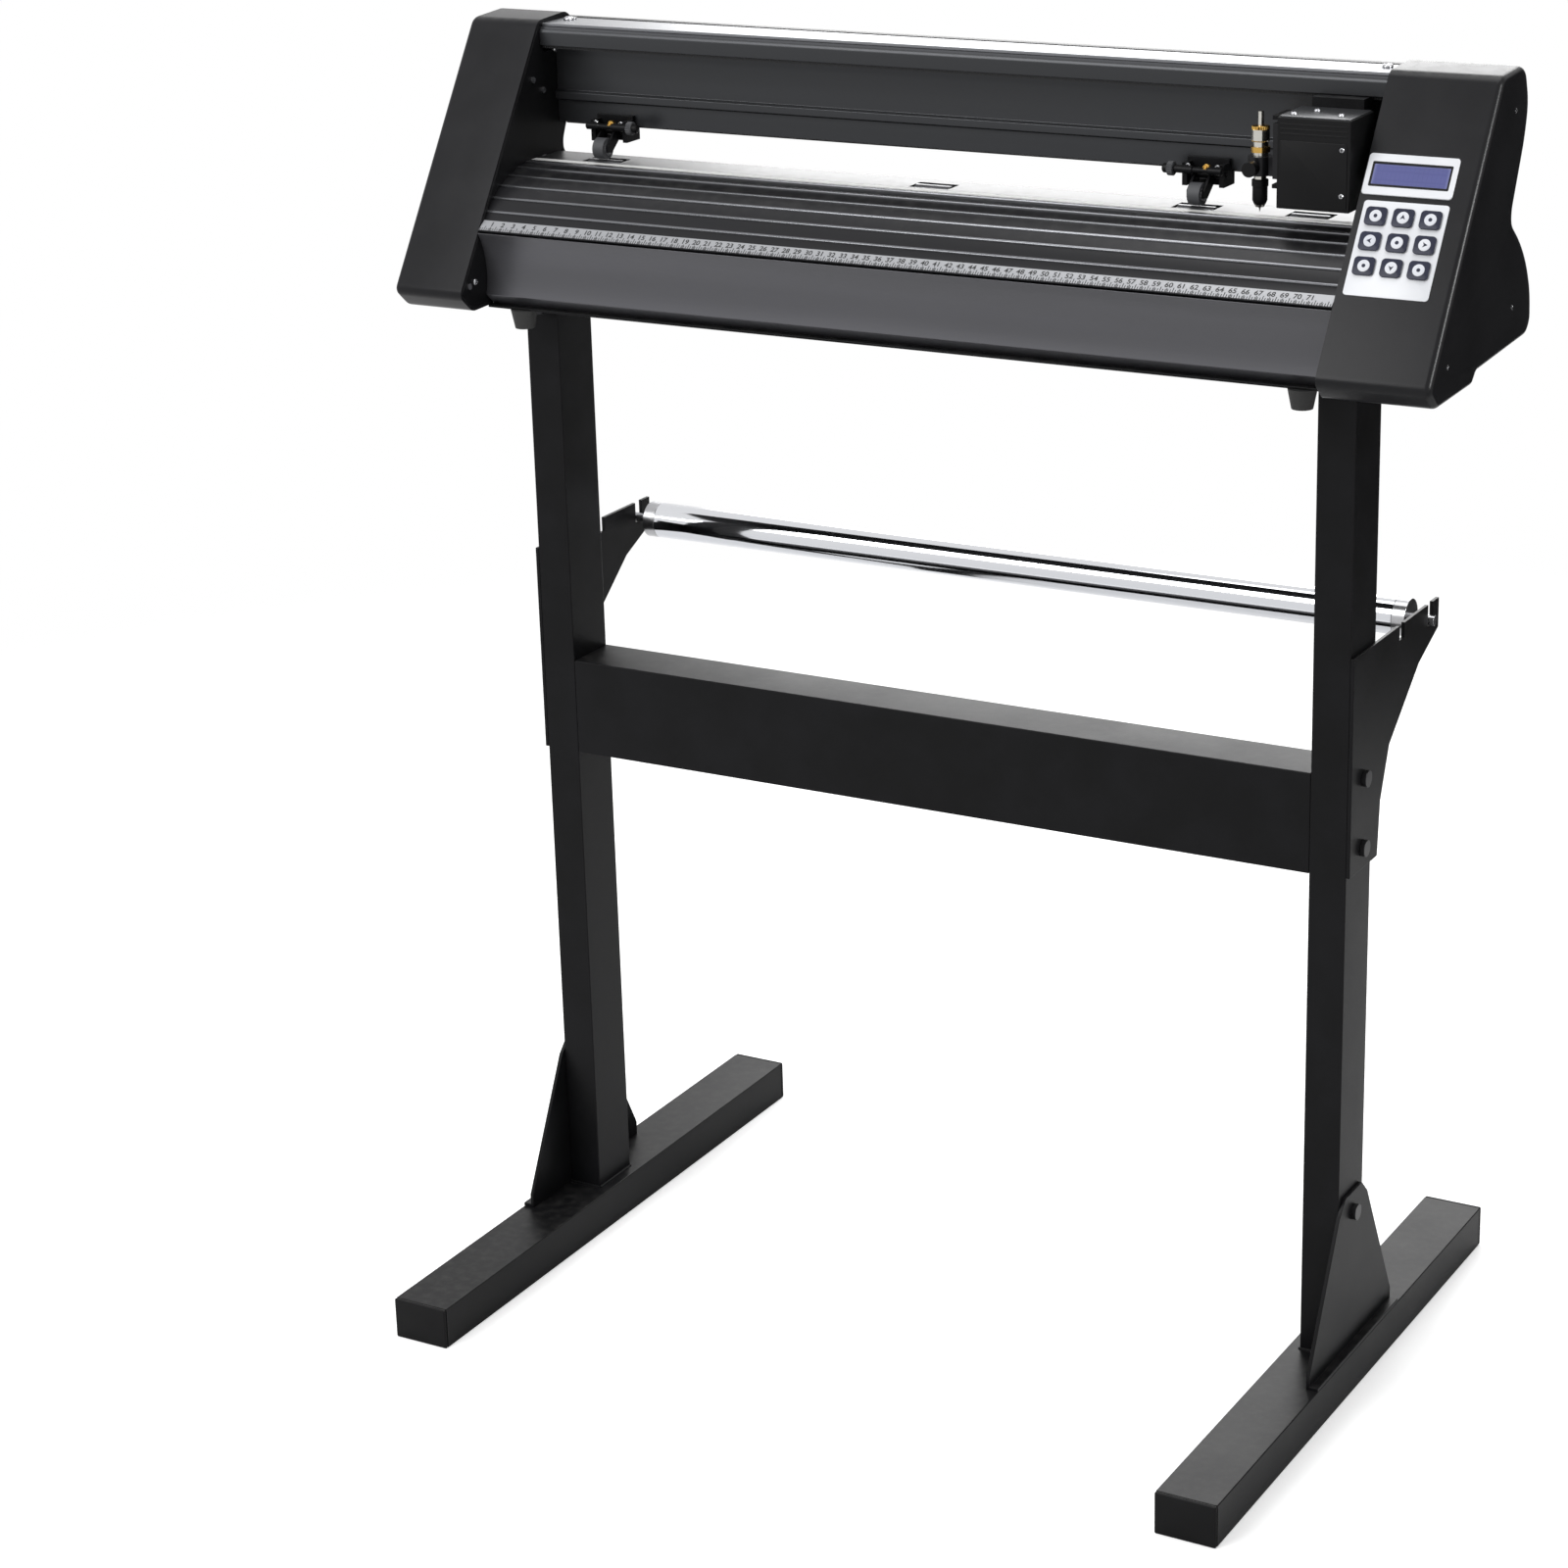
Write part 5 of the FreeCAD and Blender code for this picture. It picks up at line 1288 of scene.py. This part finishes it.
@dataclass
class ToolCarriage:
    """The cutting carriage, with its tool."""

    band: float = 15 * MM
    screw_radius: float = 2.0 * MM
    screw_inset: float = 6 * MM
    lid_screw: float = 2.6 * MM
    lid_rise: float = 0.8 * MM
    groove_rise: float = 3.2 * MM
    groove_pitch: float = 3.4 * MM
    grip_feet: tuple[float, float] = (984 * MM, 991 * MM)
    sleeve_foot: float = 937 * MM
    grip: tuple[Ring, ...] = profile(
        (5.6, 0), (6.3, 0.4, Outline.KNURL), (6.3, 4.2, Outline.KNURL), (5.6, 4.6),
    )
    sleeve: tuple[Ring, ...] = profile(
        (3.4, 0), (4.4, 1.2), (5.6, 4), (5.6, 14), (6.2, 14.4), (6.2, 19), (5.2, 19.6),
    )

    def build(self) -> None:
        """The cover's front plate, its screws and the tool's knurls."""
        low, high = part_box("carriage_cover")
        plate = Solid()
        wide, tall = high.x - low.x - 4 * MM, high.z - low.z - self.band - 3 * MM
        spot = Vector(((low.x + high.x) / 2, low.y + 0.4 * MM, low.z + tall / 2 + 1.5 * MM))
        plate.slab(rounded(wide, tall, 2.5 * MM), spot, X_AXIS, Z_AXIS, 1.0 * MM, 0.35 * MM)
        for step in range(3):
            lift = high.z - self.band + self.groove_rise + self.groove_pitch * step
            plate.slab(rounded(wide, 1.5 * MM, 0.7 * MM, 3), Vector((spot.x, spot.y, lift)),
                       X_AXIS, Z_AXIS, 0.7 * MM, 0.2 * MM)
        plate.piece("carriage_front_plate", "carriage", "black_plastic", DARK_PLASTIC)
        lid = Solid().slab(rounded(high.x - low.x - 1.6 * MM, high.y - low.y - 1.6 * MM, 3 * MM),
                           Vector((spot.x, (low.y + high.y) / 2, high.z - 0.2 * MM)), X_AXIS, Y_AXIS,
                           1.0 * MM, 0.35 * MM)
        lid.piece("carriage_lid", "carriage", "black_aluminium", RAIL)
        heads = Solid()
        for x, y in ((low.x + 9 * MM, low.y + 9 * MM), (high.x - 12 * MM, low.y + 12 * MM),
                     (low.x + 20 * MM, low.y + 26 * MM)):
            screw(heads, Vector((x, y, high.z + self.lid_rise)), Z_AXIS, self.lid_screw)
        for z in (low.z + 12 * MM, high.z - self.band - self.screw_inset):
            seat = Vector((high.x - self.screw_inset, spot.y - 0.6 * MM, z))
            screw(heads, seat, -Y_AXIS, self.screw_radius)
        heads.piece("carriage_screws", "carriage", "steel", PLATED)
        self._tool()

    def _tool(self) -> None:
        """Knurled grip bands round the blade holder."""
        middle = centre("blade_holder")
        grips = Solid()
        for z in self.grip_feet:
            grips.turned(self.grip, Vector((middle.x, middle.y, z)), Z_AXIS)
        grips.piece("tool_grip_bands", "tool_lift", "brass", BRASS)
        sleeve = Solid().turned(self.sleeve, Vector((middle.x, middle.y, self.sleeve_foot)), Z_AXIS, 40)
        sleeve.piece("tool_sleeve", "tool_lift", "black_plastic", DARK_PLASTIC)

    def dress(self) -> None:
        """Black cover, nickel and brass tool."""
        soften(DARK_PLASTIC, ("carriage_cover",), 0.8 * MM)
        soften(POWDER, ("carriage_frame",), 0.25 * MM)
        soften(ANODISED, ("lift_block",), 0.25 * MM)
        soften(NICKEL, ("blade_holder", "blade"), 0)
        soften(DARK_PLASTIC, ("clamp_screw",), 0)
        soften(BRASS, ("depth_ring",), 0)


class Sign(Enum):
    """The plain signs printed on the keys."""

    UP = (0, 1)
    DOWN = (0, -1)
    LEFT = (-1, 0)
    RIGHT = (1, 0)
    DOT = (0, 0)

    def outline(self, size: float) -> list[Point]:
        """The sign's corners about (0, 0).

        Args:
            size: half its height.

        Returns:
            An arrow head, or a circle for the dot.
        """
        dx, dy = self.value
        if not (dx or dy):
            return [(size * 0.62 * math.cos(a), size * 0.62 * math.sin(a))
                    for a in (math.tau * k / 20 for k in range(20))]
        turn = math.atan2(dy, dx)
        head = [(size, 0), (-size * 0.6, size * 0.85), (-size * 0.15, 0), (-size * 0.6, -size * 0.85)]
        return [(u * math.cos(turn) - v * math.sin(turn), u * math.sin(turn) + v * math.cos(turn))
                for u, v in head]


@dataclass
class ControlPanel:
    """The display, the keypad and its nine keys, on the right cover's slope."""

    key_size: tuple[float, float] = (16 * MM, 14 * MM)
    key_round: float = 3 * MM
    corner: float = 2.6 * MM
    surround: float = 1.6 * MM
    key_depth: float = 1.4 * MM
    key_thick: float = 0.9 * MM
    button: float = 4.5 * MM
    bezel_trim: float = 0.8 * MM
    plate_trim: float = 0.8 * MM
    plate_thick: float = 0.5 * MM
    signs: tuple[Sign, ...] = (Sign.DOT, Sign.UP, Sign.DOT, Sign.LEFT, Sign.DOT, Sign.RIGHT, Sign.DOT,
                               Sign.DOWN, Sign.DOT)

    def __post_init__(self) -> None:
        """Finds the slope from the keys' own places."""
        self.up = (centre("key_2") - centre("key_8")).normalized()
        self.out = X_AXIS.cross(self.up)

    def build(self) -> None:
        """Nine round-cornered keys, each with its pale button and sign, and the display's frame."""
        for number, sign in enumerate(self.signs, 1):
            self._key(number, sign)
        self._frames()

    def _key(self, number: int, sign: Sign) -> None:
        """One key.

        Args:
            number: the key's number, 1 to 9.
            sign: what is printed on it.
        """
        middle = centre(f"key_{number}")
        body = f"key_{number}_cap"
        face = middle + self.out * self.key_depth / 2
        cap = Solid().slab(rounded(*self.key_size, self.key_round), face - self.out * self.key_thick,
                           X_AXIS, self.up, self.key_thick, 0.35 * MM, 3)
        cap.piece(f"key_{number}_pad", body, "navy", KEY_NAVY, f"key_{number}")
        disc = Solid().turned(
            [(self.button, -0.2 * MM), (self.button, 0.12 * MM), (self.button * 0.93, 0.24 * MM),
             (self.button * 0.6, 0.26 * MM)],
            face, self.out, 40,
        )
        disc.piece(f"key_{number}_button", body, "white", KEY_INK)
        mark = Solid().slab(sign.outline(2.3 * MM), face + self.out * 0.1 * MM, X_AXIS, self.up, 0.26 * MM)
        mark.piece(f"key_{number}_sign", body, "navy", KEY_NAVY)

    def _frames(self) -> None:
        """The display's rounded frame and the keypad's rounded plate."""
        low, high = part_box("display_bezel")
        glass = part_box("display_window")
        size = (high.x - low.x, (high - low).yz.length)
        window = (glass[1].x - glass[0].x, (glass[1] - glass[0]).yz.length)
        seat = outer_face("display_bezel", X_AXIS, self.up, False)
        frame_piece = Solid().rim(rounded(size[0], size[1] - self.bezel_trim, self.corner),
                                  rounded(window[0] - 1 * MM, window[1] - 1.4 * MM, 0.8 * MM),
                                  seat, X_AXIS, self.up, 1.25 * MM)
        frame_piece.piece("display_frame", "root", "white", PANEL_WHITE, "display_bezel")
        # A thin black band round the display window: painted shade where the frame's edge meets the window.
        shade_line = Solid().rim(rounded(window[0] + self.surround, window[1] + self.surround, 1 * MM),
                                 rounded(window[0] - 2 * MM, window[1] - 2.4 * MM, 0.6 * MM),
                                 seat + self.out * 1.2 * MM, X_AXIS, self.up, 0.16 * MM)
        shade_line.piece("display_painted_shade_band", "root", "black_plastic", DARK_PLASTIC)
        low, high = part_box("keypad_panel")
        outline = rounded(high.x - low.x, (high - low).yz.length - self.plate_trim, self.corner)
        seat = outer_face("keypad_panel", X_AXIS, self.up, False)
        plate = Solid().slab(outline, seat, X_AXIS, self.up, self.plate_thick, 0.25 * MM)
        plate.piece("keypad_plate", "root", "white", PANEL_WHITE, "keypad_panel")

    def dress(self) -> None:
        """The lit display."""
        soften(DISPLAY, ("display_window",), 0)


@dataclass
class SideSockets:
    """The power inlet, the data sockets and the switch."""

    def build(self) -> None:
        """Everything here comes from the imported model."""

    def dress(self) -> None:
        """Black plastic."""
        soften(DARK_PLASTIC, ("side_sockets", "power_rocker"), 0.2 * MM)

# ---------------------------------------------------------------- the studio


@dataclass
class Studio:
    """The floor, the lamps and the camera."""

    eye: tuple[float, float, float] = (1.3515, -2.5511, 1.4879)
    turn: tuple[float, float, float] = (1.22737, 0.02838, 0.52024)
    lens: float = 87.52
    floor_size: float = 40.0
    lift: float = 0.42
    room_light: float = 0.3
    fade: tuple[float, float] = (1.2, 5.0)
    lamps: tuple = (
        ("key", (-1.3, -2.6, 2.9), 1.8, 78.0),
        ("fill", (2.8, -2.6, 1.4), 2.6, 5.0),
        ("edge", (2.6, -0.35, 2.05), 0.5, 60.0),
        ("back", (-0.9, 3.2, 2.2), 2.4, 70.0),
        ("top", (0.2, 0.3, 3.4), 2.0, 46.0),
    )
    aim: tuple[float, float, float] = (0.0, 0.0, 0.6)
    flag: tuple[float, float, float] = (1.12, 1.45, 0.66)
    flag_aim: tuple[float, float, float] = (0.45, 0.0, 0.9)
    flag_size: float = 1.5

    def build(self) -> None:
        """Makes everything that isn't part of the machine."""
        self._floor()
        self._world()
        for name, place, size, power in self.lamps:
            self._lamp(name, Vector(place), size, power)
        self._flag()
        self._camera()

    def _card(self, name: str, size: float, graph: Graph) -> bpy.types.Object:
        """A flat square of the stage.

        Args:
            name: the object's name.
            size: its width.
            graph: its finished material.

        Returns:
            The new object.
        """
        grid = bmesh.new()
        bmesh.ops.create_grid(grid, x_segments=4, y_segments=4, size=size / 2)
        data = bpy.data.meshes.new(name)
        grid.to_mesh(data)
        grid.free()
        data.materials.append(graph.material)
        card = bpy.data.objects.new(name, data)
        bpy.context.scene.collection.objects.link(card)
        return card

    def _flag(self) -> None:
        """A dark card behind the machine's right side, for the glossy sides to mirror."""
        graph = Graph("black_card")
        graph.colour((0.01, 0.01, 0.01))
        graph.feed("Roughness", 1.0)
        card = self._card("flag", self.flag_size, graph)
        card.location = self.flag
        card.rotation_euler = (Vector(self.flag_aim) - card.location).to_track_quat("Z", "Y").to_euler()
        card.visible_camera = card.visible_diffuse = card.visible_shadow = False

    def _floor(self) -> None:
        """A wide pale floor that looks white to the camera and keeps the shadow."""
        graph = Graph("white_floor")
        graph.colour((0.93, 0.93, 0.93))
        graph.feed("Roughness", 0.9)
        seen = Value(graph, graph.node("ShaderNodeLightPath", {}, {}).outputs["Is Camera Ray"])
        graph.feed("Emission Color", graph.mix(BLACK[:3], WHITE[:3], seen))
        graph.feed("Emission Strength", self.lift)
        far = (graph.place(0) * graph.place(0) + graph.place(1) * graph.place(1)).smooth(*self.fade)
        clear = graph.node("ShaderNodeBsdfTransparent", {}, {})
        blend = graph.node("ShaderNodeMixShader", {}, {
            0: far, 1: graph.shader.outputs[0], 2: clear.outputs[0],
        })
        graph.tree.links.new(blend.outputs[0], graph.output.inputs["Surface"])
        self._card("floor", self.floor_size, graph)

    def _world(self) -> None:
        """Soft light from all round, and white where the camera or a mirror sees it."""
        world = bpy.data.worlds.new("white_room")
        bpy.context.scene.world = world
        room = NodeTree(world)
        rays = room.node("ShaderNodeLightPath", {}, {}).outputs
        camera, glossy, clear = (Value(room, rays[f"Is {kind} Ray"])
                                 for kind in ("Camera", "Glossy", "Transmission"))
        soft, white = (room.node("ShaderNodeBackground", {}, {"Color": WHITE, "Strength": strength})
                       for strength in (self.room_light, 1.0))
        blend = room.node("ShaderNodeMixShader", {}, {
            0: camera.most(glossy).most(clear), 1: soft.outputs[0], 2: white.outputs[0],
        })
        room.node("ShaderNodeOutputWorld", {}, {"Surface": blend.outputs[0]})

    def _lamp(self, name: str, place: Vector, size: float, power: float) -> None:
        """A soft square lamp that points at the machine."""
        light = bpy.data.lights.new(name, "AREA")
        light.shape, light.size, light.energy = "SQUARE", size, power
        lamp = bpy.data.objects.new(name, light)
        lamp.location = place
        lamp.rotation_euler = (Vector(self.aim) - place).to_track_quat("-Z", "Y").to_euler()
        lamp.visible_diffuse = name != "edge"
        bpy.context.scene.collection.objects.link(lamp)

    def _camera(self) -> None:
        """The camera, at a standing customer's view from the front right."""
        data = bpy.data.cameras.new("camera")
        data.lens, data.sensor_width = self.lens, 36.0
        data.clip_start, data.clip_end = 0.05, 60.0
        camera = bpy.data.objects.new("camera", data)
        camera.location = self.eye
        camera.rotation_euler = Euler(self.turn, "XYZ")
        bpy.context.scene.collection.objects.link(camera)
        bpy.context.scene.camera = camera


def main() -> None:
    """Builds and dresses each sub-assembly in turn."""
    logging.basicConfig(level=logging.INFO, format="%(name)s: %(message)s")
    bpy.context.scene.view_settings.view_transform = "Standard"
    Studio().build()
    for part in (FloorStand(), Housing(), MediaDeck(), Rail(), Drives(), PinchUnits(), ToolCarriage(),
                 ControlPanel(), SideSockets()):
        part.build()
        part.dress()


if __name__ == "__main__":
    main()
